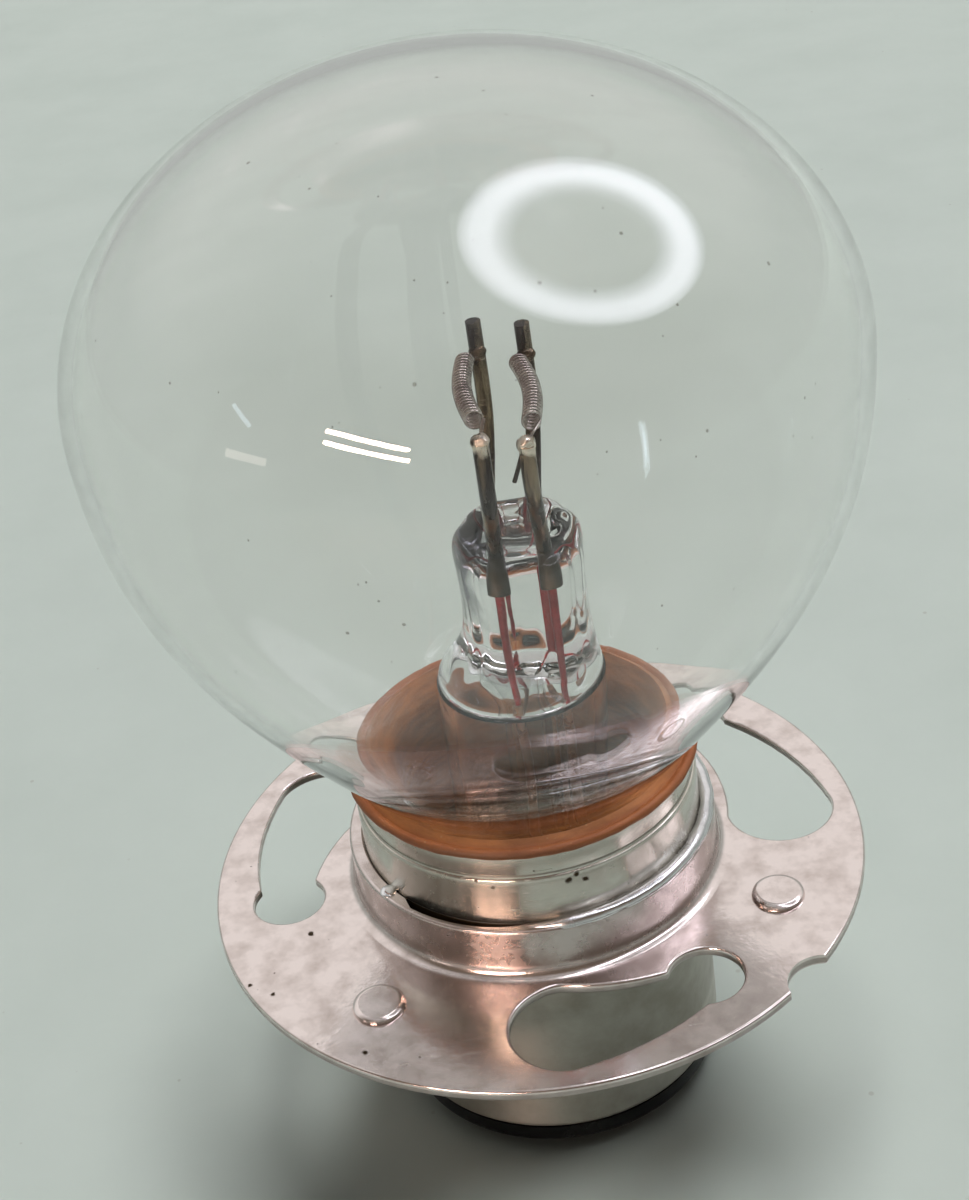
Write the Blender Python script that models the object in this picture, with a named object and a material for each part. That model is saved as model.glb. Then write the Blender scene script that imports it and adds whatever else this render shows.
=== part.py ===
"""Twin-filament prefocus headlight bulb, standing on its two contact tips.

Units are metres, +Z runs up the lamp axis and the origin lies on the surface that the bulb stands on.
The main filament crosses the axis and the dip filament lies beside it. -Y is the front.
"""

from math import asin, atan2, cos, degrees, pi, radians, sin, sqrt

import bmesh
import bpy
from mathutils import Vector
from mathutils.geometry import interpolate_bezier

# Clearances
FIT = 0.0002
WIRE_FIT = 0.00015

# Prefocus flange and its drawn collar
FLANGE_RADIUS = 0.0180
SHEET = 0.0006
SHEET_EDGE = 0.00015
COLLAR_HEIGHT = 0.0030
COLLAR_BEND = 0.0007
COLLAR_LIP = 0.0002

# Keyed slots: a wide round end, a channel that closes in, and a small round lobe behind two nibs
SLOT_WIDE_ANGLES = {"front": 270.5, "right": 2.5, "left": 148.5}
SLOT_LOBE_ANGLES = {"front": 302.5, "right": 42.0, "left": 184.5}
SLOT_RIM_WEB = 0.00125
SLOT_COLLAR_WEB = 0.0002
SLOT_LOBE_RADIUS = 0.00195
SLOT_LOBE_OUTWARD = 0.0001
SLOT_NIB = 0.00045

# Rim notch and raised dimples
NOTCH_ANGLE = 314.5
NOTCH_RADIUS = 0.0019
NOTCH_DEPTH = 0.0010
DIMPLE_ANGLES = (100.0, 228.7, 331.5)
DIMPLE_RADIUS = 0.0014
DIMPLE_RISE = 0.00035
DIMPLE_DRAFT = 0.0003

# Cap shell
SHELL_RADIUS = 0.00925
SHELL_WALL = 0.00045
SHELL_ABOVE_FLANGE = 0.0072
SHELL_BELOW_FLANGE = 0.0123
SHELL_STEP = 0.00015
SHELL_STEP_HEIGHT = 0.0003
SHELL_BAND = 0.0013
SHELL_ROUND = 0.0005

# Solder between collar and shell
SOLDER_START = 272.0
SOLDER_SWEEP = 158.0
SOLDER_RISE = 0.00065
SPOT_ANGLE = 216.0
SPOT_RADIUS = 0.0005

# Insulator and contacts
INSULATOR_INSET = 0.0005
INSULATOR_RIM = 0.0009
INSULATOR_ROUND = 0.0004
PLUG_HEIGHT = 0.0030
CONTACT_SPACING = 0.0088
PLATE_LENGTH = 0.0072
PLATE_WIDTH = 0.0040
PLATE_THICKNESS = 0.0005
PLATE_PROUD = 0.0002
PLATE_HOLE = 0.0014
TIP_MARGIN = 0.0004
TIP_HEIGHT = 0.0006
TIP_ROUND = 0.00025

# Glass envelope
GLASS_RADIUS = 0.0192
GLASS_WALL = 0.0007
WIDEST_ABOVE_FLANGE = 0.0302
DOME_RISE = 0.0147
SHOULDER_ABOVE_RIM = 0.0007
SHOULDER_SPREAD = 0.0009
SHOULDER_SLOPE = 38.0
BULGE_PULL = 0.0092
SHOULDER_PULL = 0.0100
NECK_LENGTH = 0.0085
NECK_CURVE = 0.0017

# Cement round the neck, with a bead on the shell's rim
CEMENT_WALL = 0.00055
BEAD_OVERHANG = 0.00025

# Stem
STEM_RADIUS = 0.0045
STEM_WALL = 0.0007
STEM_SHIFT = 0.00055
FLARE_LENGTH = 0.0052
PRESS_HEIGHT = 0.0086
PRESS_BELOW_LIGHT = 0.0081
PRESS_FOOT = 0.0027
PRESS_HEAD = 0.0014
PRESS_WAIST = 0.00335
PRESS_HEAD_SPREAD = 0.00015
PRESS_DEPTH_EXTRA = 0.0005
PRESS_EDGE = 0.0007
EXHAUST_RADIUS = 0.0013
EXHAUST_WALL = 0.0004
EXHAUST_ABOVE_PLUG = 0.0032

# Leads: a post above, a seal wire in the press and a copper wire below
LEAD_TO_STEM = 0.0021
LEAD_INSET = 0.0001
POST_DIAMETER = 0.0008
POST_DEPTH = 0.0032
POST_UPRIGHT = 0.0028
SEAL_DIAMETER = 0.0005
LEAD_DIAMETER = 0.0005
LEAD_DROP = 0.0012
GROUND_ANGLE = 20.0

# Filaments
LIGHT_CENTRE_ABOVE_FLANGE = 0.0287
DIP_OFFSET = 0.0026
DIP_DROP = 0.0005
COIL_LENGTH = 0.0066
COIL_TURNS = 10
COIL_POINTS_A_TURN = 8
COIL_RADIUS = 0.00048
COIL_WIRE = 0.0002
COIL_BOW = 0.00035
COIL_LEG = 0.0004
FRONT_POST_DROP = 0.0008
BACK_POST_RISE = 0.0017
POST_SIDE = {"main_front": 0.00010, "main_back": 0.00068, "dip_front": -0.00038, "dip_back": 0.00045}

# Facets
ROUND_STEPS = 56
FLANGE_STEPS = 72
SMALL_STEPS = 20
ARC_STEPS = 4
CURVE_STEPS = 9
SHARP_ANGLE = radians(35)

# Levels from the standing surface up
TIP_TOP = TIP_HEIGHT
PLATE_BOTTOM = TIP_TOP + FIT
PLATE_TOP = PLATE_BOTTOM + PLATE_THICKNESS
INSULATOR_BOTTOM = PLATE_BOTTOM + PLATE_PROUD
SHELL_BOTTOM = INSULATOR_BOTTOM + INSULATOR_RIM + FIT
PLUG_TOP = SHELL_BOTTOM + PLUG_HEIGHT
FLANGE_HEIGHT = SHELL_BOTTOM + SHELL_BELOW_FLANGE
FLANGE_UNDERSIDE = FLANGE_HEIGHT - SHEET
COLLAR_TOP = FLANGE_HEIGHT + COLLAR_HEIGHT
SHELL_TOP = FLANGE_HEIGHT + SHELL_ABOVE_FLANGE
NECK_BOTTOM = SHELL_TOP - NECK_LENGTH
SHOULDER = SHELL_TOP + SHOULDER_ABOVE_RIM
WIDEST = FLANGE_HEIGHT + WIDEST_ABOVE_FLANGE
LIGHT_CENTRE = FLANGE_HEIGHT + LIGHT_CENTRE_ABOVE_FLANGE
PRESS_TOP = LIGHT_CENTRE - PRESS_BELOW_LIGHT
PRESS_BOTTOM = PRESS_TOP - PRESS_HEIGHT
POST_FOOT = PRESS_TOP - POST_DEPTH
STEM_TOP = PRESS_BOTTOM - FIT
FLARE_BOTTOM = NECK_BOTTOM - FIT - STEM_WALL

# Radii that several pieces share
SHELL_BORE = SHELL_RADIUS - SHELL_STEP - SHELL_WALL
COLLAR_BORE = SHELL_RADIUS + FIT
COLLAR_OUTER = COLLAR_BORE + SHEET
BEND_OUTER = COLLAR_OUTER + COLLAR_BEND
SLOT_WIDE_RADIUS = (FLANGE_RADIUS - SLOT_RIM_WEB - BEND_OUTER - SLOT_COLLAR_WEB) / 2
SLOT_CENTRE_RADIUS = FLANGE_RADIUS - SLOT_RIM_WEB - SLOT_WIDE_RADIUS
LOBE_CENTRE_RADIUS = SLOT_CENTRE_RADIUS + SLOT_LOBE_OUTWARD
NECK_RADIUS = SHELL_BORE - FIT - CEMENT_WALL - FIT
SHOULDER_RADIUS = NECK_RADIUS + SHOULDER_SPREAD
BEAD_RADIUS = SHELL_RADIUS + BEAD_OVERHANG
LEAD_REACH = STEM_RADIUS - LEAD_TO_STEM
POST_REACH = COIL_LENGTH / 2 + COIL_LEG + POST_DIAMETER / 2

# Places of the two coils, and the leads that carry them
COIL_X = {"main": 0.0, "dip": DIP_OFFSET}
COIL_Z = {"main": LIGHT_CENTRE, "dip": LIGHT_CENTRE - DIP_DROP}
SIDE_SIGN = {"main": -1, "dip": 1}
END_SIGN = {"front": -1, "back": 1}
LEAD_NAMES = [f"{coil}_{end}" for coil in COIL_X for end in END_SIGN]


# Materials
def material(name, colour, roughness, metallic=0.0, transmission=0.0):
    """A Principled material with one base colour."""
    made = bpy.data.materials.new(name)
    made.use_nodes = True
    shader = made.node_tree.nodes["Principled BSDF"]
    shader.inputs["Base Color"].default_value = (*colour, 1.0)
    shader.inputs["Roughness"].default_value = roughness
    shader.inputs["Metallic"].default_value = metallic
    shader.inputs["Transmission Weight"].default_value = transmission
    made.diffuse_color = (*colour, 1.0)
    return made


def all_materials():
    """Every finish of the bulb by its name."""
    return {
        "clear_glass": material("clear_glass", (0.86, 0.90, 0.88), 0.03, transmission=0.9),
        "stem_glass": material("stem_glass", (0.78, 0.80, 0.80), 0.05, transmission=0.8),
        "plated_flange": material("plated_flange", (0.66, 0.62, 0.63), 0.28, 1.0),
        "plated_shell": material("plated_shell", (0.58, 0.60, 0.56), 0.25, 1.0),
        "cement": material("cement", (0.30, 0.11, 0.03), 0.55),
        "black_glass": material("black_glass", (0.012, 0.012, 0.014), 0.15),
        "brass": material("brass", (0.72, 0.52, 0.26), 0.35, 1.0),
        "solder": material("solder", (0.62, 0.62, 0.64), 0.32, 1.0),
        "nickel": material("nickel", (0.36, 0.33, 0.29), 0.35, 1.0),
        "tungsten": material("tungsten", (0.20, 0.20, 0.22), 0.35, 1.0),
        "seal_wire": material("seal_wire", (0.35, 0.06, 0.05), 0.35, 0.6),
        "copper": material("copper", (0.55, 0.27, 0.15), 0.35, 1.0),
    }


# Shared modelling helpers
def add_object(name, mesh, finish, parent):
    """One named piece with its finish, under the bulb's own empty."""
    piece = bpy.data.objects.new(name, mesh)
    bpy.context.scene.collection.objects.link(piece)
    if finish is not None:
        mesh.materials.append(finish)
    piece.parent = parent
    return piece


def mesh_from(name, bm):
    """The bmesh as a smooth-shaded mesh with its sharp edges marked and its faces pointing out."""
    bmesh.ops.recalc_face_normals(bm, faces=bm.faces)
    mesh = bpy.data.meshes.new(name)
    bm.to_mesh(mesh)
    bm.free()
    mesh.shade_smooth()
    mesh.set_sharp_from_angle(angle=SHARP_ANGLE)
    return mesh


def add_loop(bm, points, closed=True):
    """Vertices through the points, joined by edges."""
    verts = [bm.verts.new(point) for point in points]
    edges = [bm.edges.new(pair) for pair in zip(verts, verts[1:])]
    if closed:
        edges.append(bm.edges.new((verts[-1], verts[0])))
    return verts, edges


def turned(name, outline, steps):
    """A solid of revolution. An outline that starts and ends on the axis stays open, any other is closed."""
    bm = bmesh.new()
    on_axis = outline[0][0] == 0.0 and outline[-1][0] == 0.0
    verts, edges = add_loop(bm, [(radius, 0.0, level) for radius, level in outline], closed=not on_axis)
    bmesh.ops.spin(
        bm, geom=verts + edges, cent=(0, 0, 0), axis=(0, 0, 1), angle=2 * pi, steps=steps, use_merge=True
    )
    bmesh.ops.remove_doubles(bm, verts=bm.verts, dist=1e-7)
    return mesh_from(name, bm)


def bridged(name, rings, closed=False):
    """A skin over a stack of rings, capped at both ends or, if closed, run back to the first ring."""
    bm = bmesh.new()
    loops = [add_loop(bm, ring) for ring in rings]
    pairs = list(zip(loops, loops[1:]))
    if closed:
        pairs.append((loops[-1], loops[0]))
    for (lower, _), (upper, _) in pairs:
        count = len(lower)
        for i in range(count):
            j = (i + 1) % count
            bm.faces.new((lower[i], lower[j], upper[j], upper[i]))
    if not closed:
        bm.faces.new(loops[0][0])
        bm.faces.new(loops[-1][0])
    return mesh_from(name, bm)


def swept_arc(name, outline, start, sweep, steps):
    """A closed outline swept part of the way round the axis, with both ends capped."""
    rings = []
    for step in range(steps + 1):
        turn = radians(start + sweep * step / steps)
        rings.append([(r * cos(turn), r * sin(turn), z) for r, z in outline])
    return bridged(name, rings)


def prism(bm, outline, bottom, top):
    """A closed prism over a flat outline, added to the bmesh."""
    verts = [bm.verts.new((x, y, bottom)) for x, y in outline]
    face = bm.faces.new(verts)
    raised = bmesh.ops.extrude_face_region(bm, geom=[face])
    moved = [item for item in raised["geom"] if isinstance(item, bmesh.types.BMVert)]
    bmesh.ops.translate(bm, verts=moved, vec=(0, 0, top - bottom))


def boolean(piece, name, tool, operation):
    """A Boolean with a helper that isn't part of the bulb."""
    helper = add_object(name, tool, None, piece.parent)
    helper.hide_render = True
    helper.display_type = "WIRE"
    modifier = piece.modifiers.new(name, "BOOLEAN")
    modifier.operation = operation
    modifier.solver = "EXACT"
    modifier.object = helper


def wire(name, points, diameter, finish, parent, resolution=2):
    """A round wire through the points."""
    curve = bpy.data.curves.new(name, "CURVE")
    curve.dimensions = "3D"
    curve.bevel_depth = diameter / 2
    curve.bevel_resolution = resolution
    curve.use_fill_caps = True
    spline = curve.splines.new("POLY")
    spline.points.add(len(points) - 1)
    for target, point in zip(spline.points, points):
        target.co = (*point, 1.0)
    return add_object(name, curve, finish, parent)


def arc(centre, radius, start, end, steps=ARC_STEPS):
    """Points of an arc in the plane, from one angle to the other in degrees."""
    points = []
    for step in range(steps + 1):
        turn = radians(start + (end - start) * step / steps)
        points.append((centre[0] + radius * cos(turn), centre[1] + radius * sin(turn)))
    return points


def bezier(start, start_handle, end_handle, end, steps=CURVE_STEPS):
    """Points of a cubic curve in the plane."""
    corners = [Vector((*point, 0.0)) for point in (start, start_handle, end_handle, end)]
    return [(point.x, point.y) for point in interpolate_bezier(*corners, steps)]


def smooth_route(points, steps=4):
    """A smooth curve through the given points, for a wire that is led by hand."""
    places = [Vector(point) for point in points]
    route = [places[0]]
    for i in range(len(places) - 1):
        before = places[max(i - 1, 0)]
        after = places[min(i + 2, len(places) - 1)]
        pull_out = places[i] + (places[i + 1] - before) / 6
        pull_in = places[i + 1] - (after - places[i]) / 6
        route += interpolate_bezier(places[i], pull_out, pull_in, places[i + 1], steps + 1)[1:]
    return route


def circle_ring(centre_x, radius, level, steps=SMALL_STEPS, depth=None):
    """A level ring, round or drawn out along Y."""
    depth = radius if depth is None else depth
    turns = [2 * pi * step / steps for step in range(steps)]
    return [(centre_x + radius * cos(turn), depth * sin(turn), level) for turn in turns]


def stadium(length, width, steps=ARC_STEPS):
    """A flat outline with straight sides along Y and round ends."""
    reach = (length - width) / 2
    upper = arc((0.0, reach), width / 2, 0, 180, steps * 2)
    lower = arc((0.0, -reach), width / 2, 180, 360, steps * 2)
    return upper + lower


# Cap, flange and solder
def flange_outline():
    """The sheet of the flange and its drawn collar, as a closed outline."""
    rim = FLANGE_RADIUS - SHEET_EDGE
    lip = COLLAR_OUTER - COLLAR_LIP
    outline = [(COLLAR_BORE, COLLAR_TOP), (lip, COLLAR_TOP)]
    outline += arc((lip, COLLAR_TOP - COLLAR_LIP), COLLAR_LIP, 60, 0, 2)
    outline += arc((BEND_OUTER, FLANGE_HEIGHT + COLLAR_BEND), COLLAR_BEND, 180, 270)
    outline += [(rim, FLANGE_HEIGHT), (FLANGE_RADIUS, FLANGE_HEIGHT - SHEET_EDGE)]
    outline += [(FLANGE_RADIUS, FLANGE_UNDERSIDE + SHEET_EDGE), (rim, FLANGE_UNDERSIDE)]
    outline += arc((BEND_OUTER, FLANGE_HEIGHT + COLLAR_BEND), COLLAR_BEND + SHEET, 270, 180)
    return outline


def slot_outline(name):
    """One keyed slot seen from above: wide end, channel edges that close in, and the lobe."""
    turn = radians(SLOT_WIDE_ANGLES[name])
    lobe_turn = radians(SLOT_LOBE_ANGLES[name])
    neck_half = SLOT_LOBE_RADIUS - SLOT_NIB
    mouth = degrees(asin(neck_half / SLOT_LOBE_RADIUS))

    def around(radius, at, size, start, end, steps):
        centre = (radius * cos(at), radius * sin(at))
        return arc(centre, size, degrees(at) + start, degrees(at) + end, steps)

    wide = around(SLOT_CENTRE_RADIUS, turn, SLOT_WIDE_RADIUS, 0, -180, 3 * ARC_STEPS)
    lobe = around(LOBE_CENTRE_RADIUS, lobe_turn, SLOT_LOBE_RADIUS, -90 - mouth, -450 + mouth, 4 * ARC_STEPS)
    return wide + channel_edge(wide[-1], lobe[0]) + lobe + channel_edge(lobe[-1], wide[0])


def channel_edge(start, end, steps=ARC_STEPS):
    """The points between two ends of a channel's edge, along a spiral about the axis."""
    start_turn, end_turn = atan2(start[1], start[0]), atan2(end[1], end[0])
    sweep = (end_turn - start_turn + pi) % (2 * pi) - pi
    start_radius, end_radius = sqrt(start[0] ** 2 + start[1] ** 2), sqrt(end[0] ** 2 + end[1] ** 2)
    points = []
    for step in range(1, steps):
        share = step / steps
        radius = start_radius + (end_radius - start_radius) * share
        turn = start_turn + sweep * share
        points.append((radius * cos(turn), radius * sin(turn)))
    return points


def dimple(bm, angle, radius, bottom, top):
    """A short frustum on the circle of the slots' lobes."""
    turn = radians(angle)
    made = bmesh.ops.create_cone(
        bm,
        cap_ends=True,
        segments=SMALL_STEPS,
        radius1=radius,
        radius2=radius - DIMPLE_DRAFT,
        depth=top - bottom,
    )
    place = (LOBE_CENTRE_RADIUS * cos(turn), LOBE_CENTRE_RADIUS * sin(turn), (bottom + top) / 2)
    bmesh.ops.translate(bm, verts=made["verts"], vec=place)


def make_flange(finishes, parent):
    """The prefocus flange with its collar, slots, notch and pressed dimples."""
    mesh = turned("prefocus_flange", flange_outline(), FLANGE_STEPS)
    flange = add_object("prefocus_flange", mesh, finishes["plated_flange"], parent)

    raised = bmesh.new()
    for angle in DIMPLE_ANGLES:
        dimple(raised, angle, DIMPLE_RADIUS, FLANGE_HEIGHT - SHEET / 2, FLANGE_HEIGHT + DIMPLE_RISE)
    boolean(flange, "flange_dimples", mesh_from("flange_dimples", raised), "UNION")

    cuts = bmesh.new()
    for name in SLOT_WIDE_ANGLES:
        prism(cuts, slot_outline(name), FLANGE_UNDERSIDE - SHEET, FLANGE_HEIGHT + COLLAR_BEND)
    turn = radians(NOTCH_ANGLE)
    notch_centre = FLANGE_RADIUS - NOTCH_DEPTH + NOTCH_RADIUS
    notch = arc((notch_centre * cos(turn), notch_centre * sin(turn)), NOTCH_RADIUS, 0, 360, SMALL_STEPS)
    prism(cuts, notch[:-1], FLANGE_UNDERSIDE - SHEET, FLANGE_HEIGHT + SHEET)
    hollow = DIMPLE_RADIUS - DIMPLE_DRAFT
    for angle in DIMPLE_ANGLES:
        dimple(cuts, angle, hollow, FLANGE_UNDERSIDE - SHEET, FLANGE_UNDERSIDE + DIMPLE_RISE)
    boolean(flange, "flange_cuts", mesh_from("flange_cuts", cuts), "DIFFERENCE")


def make_shell(finishes, parent):
    """The cap shell: a tube with a stepped band under its rim and a rounded lower edge."""
    band = SHELL_RADIUS - SHELL_STEP
    step_level = SHELL_TOP - SHELL_BAND
    foot_round = min(SHELL_ROUND, SHELL_WALL)
    outline = [(SHELL_BORE, SHELL_TOP), (band, SHELL_TOP), (band, step_level)]
    outline += [(SHELL_RADIUS, step_level - SHELL_STEP_HEIGHT)]
    outline += arc((SHELL_RADIUS - foot_round, SHELL_BOTTOM + foot_round), foot_round, 0, -90)
    outline += [(SHELL_BORE, SHELL_BOTTOM)]
    add_object("cap_shell", turned("cap_shell", outline, ROUND_STEPS), finishes["plated_shell"], parent)


def make_solder(finishes, parent):
    """The solder fillet on the collar's lip, and the separate dab beside the gap that it leaves."""
    inner = SHELL_RADIUS + FIT
    base = COLLAR_TOP + FIT
    width = COLLAR_OUTER - inner
    outline = [(inner, base), (inner + width, base)]
    outline += [(inner + width * cos(radians(t)), base + SOLDER_RISE * sin(radians(t))) for t in (30, 60, 90)]
    mesh = swept_arc("flange_solder", outline, SOLDER_START, SOLDER_SWEEP, ROUND_STEPS // 2)
    add_object("flange_solder", mesh, finishes["solder"], parent)

    bm = bmesh.new()
    bmesh.ops.create_icosphere(bm, subdivisions=2, radius=SPOT_RADIUS)
    spot = add_object("solder_spot", mesh_from("solder_spot", bm), finishes["solder"], parent)
    turn = radians(SPOT_ANGLE)
    reach = SHELL_RADIUS + FIT + SPOT_RADIUS
    spot.location = (reach * cos(turn), reach * sin(turn), base + SPOT_RADIUS)


# Insulator and contacts
def make_insulator(finishes, parent):
    """The black glass plug: a disc under the shell's edge, a plug inside it, pockets and lead holes."""
    plug = SHELL_BORE - FIT
    disc = SHELL_RADIUS - INSULATOR_INSET
    disc_top = SHELL_BOTTOM - FIT
    outline = [(0.0, PLUG_TOP), (plug, PLUG_TOP), (plug, disc_top), (disc, disc_top)]
    outline += arc((disc - INSULATOR_ROUND, INSULATOR_BOTTOM + INSULATOR_ROUND), INSULATOR_ROUND, 0, -90)
    outline += [(0.0, INSULATOR_BOTTOM)]
    mesh = turned("insulator", outline, ROUND_STEPS)
    insulator = add_object("insulator", mesh, finishes["black_glass"], parent)

    cuts = bmesh.new()
    pocket = stadium(PLATE_LENGTH + 2 * FIT, PLATE_WIDTH + 2 * FIT)
    hole = arc((0.0, 0.0), LEAD_DIAMETER / 2 + FIT, 0, 360, SMALL_STEPS // 2)[:-1]
    for side in (-1, 1):
        middle = side * CONTACT_SPACING / 2
        pocket_top = PLATE_TOP + FIT
        prism(cuts, [(x + middle, y) for x, y in pocket], INSULATOR_BOTTOM - PLATE_THICKNESS, pocket_top)
    boolean(insulator, "plate_pockets", mesh_from("plate_pockets", cuts), "DIFFERENCE")
    bores = bmesh.new()
    for side in (-1, 1):
        middle = side * CONTACT_SPACING / 2
        prism(bores, [(x + middle, y) for x, y in hole], PLATE_BOTTOM, PLUG_TOP + PLATE_THICKNESS)
    boolean(insulator, "lead_bores", mesh_from("lead_bores", bores), "DIFFERENCE")


def make_contact(name, side, finishes, parent):
    """One brass contact plate with its lead hole, and the solder tip under it."""
    middle = side * CONTACT_SPACING / 2
    bm = bmesh.new()
    prism(bm, stadium(PLATE_LENGTH, PLATE_WIDTH), 0.0, PLATE_THICKNESS)
    plate = add_object(f"{name}_contact_plate", mesh_from(name, bm), finishes["brass"], parent)
    plate.location = (middle, 0.0, PLATE_BOTTOM)
    bm = bmesh.new()
    ring = arc((middle, 0.0), PLATE_HOLE / 2, 0, 360, SMALL_STEPS // 2)[:-1]
    prism(bm, ring, PLATE_BOTTOM - PLATE_THICKNESS, PLATE_TOP + PLATE_THICKNESS)
    boolean(plate, f"{name}_plate_hole", mesh_from(f"{name}_plate_hole", bm), "DIFFERENCE")

    length, width = PLATE_LENGTH - 2 * TIP_MARGIN, PLATE_WIDTH - 2 * TIP_MARGIN
    edge = arc((-TIP_ROUND, TIP_ROUND), TIP_ROUND, 0, -90, ARC_STEPS // 2)
    rings = []
    for inset, level in [(0.0, TIP_HEIGHT)] + edge:
        rings.append([(x, y, level) for x, y in stadium(length + 2 * inset, width + 2 * inset)])
    tip = add_object(f"{name}_contact_tip", bridged(name, rings), finishes["solder"], parent)
    tip.location.x = middle


# Glass and cement
def neck_outline(inset):
    """The glass from its shoulder at the cap's rim down to the end of the neck, moved inwards by the inset."""
    slope = radians(SHOULDER_SLOPE)
    shoulder = (SHOULDER_RADIUS - inset * cos(slope), SHOULDER + inset * sin(slope))
    neck = (NECK_RADIUS - inset, SHOULDER - NECK_CURVE)
    pull = NECK_CURVE / 3
    into = (shoulder[0] - pull * sin(slope), shoulder[1] - pull * cos(slope))
    curve = bezier(shoulder, into, (neck[0], neck[1] + pull), neck, ARC_STEPS)
    return curve + [(NECK_RADIUS - inset, NECK_BOTTOM)]


def bulb_outline(inset):
    """The glass from the top of its dome down to the end of the neck, moved inwards by the inset."""
    radius, rise = GLASS_RADIUS - inset, DOME_RISE - inset
    turns = [pi / 2 * (1 - step / CURVE_STEPS) for step in range(CURVE_STEPS + 1)]
    dome = [(radius * cos(turn), WIDEST + rise * sin(turn)) for turn in turns]
    dome[0] = (0.0, WIDEST + rise)
    neck = neck_outline(inset)
    slope = radians(SHOULDER_SLOPE)
    pull = (neck[0][0] + SHOULDER_PULL * sin(slope), neck[0][1] + SHOULDER_PULL * cos(slope))
    body = bezier((radius, WIDEST), (radius, WIDEST - BULGE_PULL), pull, neck[0], CURVE_STEPS + 2)
    return dome + body[1:-1] + neck


def make_envelope(finishes, parent):
    """The clear bulb, open at the end of its neck."""
    outline = bulb_outline(0.0) + bulb_outline(GLASS_WALL)[::-1]
    mesh = turned("glass_envelope", outline, ROUND_STEPS)
    add_object("glass_envelope", mesh, finishes["clear_glass"], parent)


def make_cement(finishes, parent):
    """The cement between neck and shell, with a bead that lies on the shell's rim."""
    outer = SHELL_BORE - FIT
    seat = SHELL_TOP + FIT
    inner = neck_outline(-FIT)
    middle = (seat + inner[0][1]) / 2
    bead_radius = (inner[0][1] - seat) / 2
    outline = inner[::-1]
    outline += arc((BEAD_RADIUS - bead_radius, middle), bead_radius, 90, -90)
    outline += [(outer, seat), (outer, NECK_BOTTOM)]
    mesh = turned("basing_cement", outline, ROUND_STEPS)
    add_object("basing_cement", mesh, finishes["cement"], parent)


# Stem
def make_flare(finishes, parent):
    """The stem's tube, flared at its lower end to the neck and set a little off the axis at its top."""
    rim = NECK_RADIUS
    outer = bezier(
        (rim, FLARE_BOTTOM),
        (rim - FLARE_LENGTH / 3, FLARE_BOTTOM + STEM_WALL),
        (STEM_RADIUS, FLARE_BOTTOM + FLARE_LENGTH / 2),
        (STEM_RADIUS, FLARE_BOTTOM + FLARE_LENGTH),
    )
    outer = [(rim, FLARE_BOTTOM - STEM_WALL)] + outer + [(STEM_RADIUS, STEM_TOP)]
    inner = [(radius - STEM_WALL, level - STEM_WALL * (radius - STEM_RADIUS) / rim) for radius, level in outer]
    inner[-1] = (STEM_RADIUS - STEM_WALL, STEM_TOP)
    reach = STEM_TOP - FLARE_BOTTOM

    def ring(radius, level):
        lift = max(0.0, level - FLARE_BOTTOM) / reach
        return circle_ring(STEM_SHIFT * lift, radius, level, ROUND_STEPS // 2)

    rings = [ring(*point) for point in outer] + [ring(*point) for point in inner[::-1]]
    add_object("stem_flare", bridged("stem_flare", rings, closed=True), finishes["stem_glass"], parent)


def lead_place(name):
    """The X and Y of a lead where it goes through the press."""
    coil, end = name.split("_")
    return COIL_X[coil] - SIDE_SIGN[coil] * LEAD_INSET, END_SIGN[end] * LEAD_REACH


def make_press(finishes, parent):
    """The glass block on the stem in which the four leads are sealed."""
    shift = DIP_OFFSET / 2
    foot = STEM_RADIUS - FIT
    waist = PRESS_WAIST
    head = PRESS_WAIST + PRESS_HEAD_SPREAD
    half_edge = PRESS_EDGE / 2
    levels = (
        (0.0, STEM_SHIFT, foot, 0.0),
        (PRESS_FOOT / 2, (STEM_SHIFT + shift) / 2, (foot + waist) / 2, PRESS_DEPTH_EXTRA / 2),
        (PRESS_FOOT, shift, waist, PRESS_DEPTH_EXTRA),
        (PRESS_HEIGHT - 2 * PRESS_HEAD, shift, waist, PRESS_DEPTH_EXTRA),
        (PRESS_HEIGHT - PRESS_HEAD, shift, head, PRESS_DEPTH_EXTRA),
        (PRESS_HEIGHT - half_edge, shift, head - half_edge / 2, PRESS_DEPTH_EXTRA),
        (PRESS_HEIGHT, shift, head - PRESS_EDGE, PRESS_DEPTH_EXTRA),
    )
    rings = []
    for lift, centre, width, extra in levels:
        rings.append(circle_ring(centre, width, PRESS_BOTTOM + lift, ROUND_STEPS // 2, width + extra))
    press = add_object("stem_press", bridged("stem_press", rings), finishes["stem_glass"], parent)

    bores = bmesh.new()
    for name in LEAD_NAMES:
        x, y = lead_place(name)
        ring = arc((x, y), POST_DIAMETER / 2 + WIRE_FIT, 0, 360, SMALL_STEPS // 2)[:-1]
        prism(bores, ring, PRESS_BOTTOM - PRESS_EDGE, PRESS_TOP + PRESS_EDGE)
    boolean(press, "press_bores", mesh_from("press_bores", bores), "DIFFERENCE")


def make_exhaust(finishes, parent):
    """The exhaust tube under the press, melted shut at its lower end."""
    inner = EXHAUST_RADIUS - EXHAUST_WALL
    top = STEM_TOP
    bottom = PLUG_TOP + EXHAUST_ABOVE_PLUG
    outline = arc((0.0, bottom + EXHAUST_RADIUS), EXHAUST_RADIUS, -90, 0)
    outline[0] = (0.0, bottom)
    outline += [(EXHAUST_RADIUS, top), (inner, top)]
    bore_end = arc((0.0, bottom + EXHAUST_WALL + inner), inner, 0, -90)
    bore_end[-1] = (0.0, bottom + EXHAUST_WALL)
    mesh = turned("exhaust_tube", outline + bore_end, SMALL_STEPS)
    tube = add_object("exhaust_tube", mesh, finishes["stem_glass"], parent)
    tube.location.x = STEM_SHIFT


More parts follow.
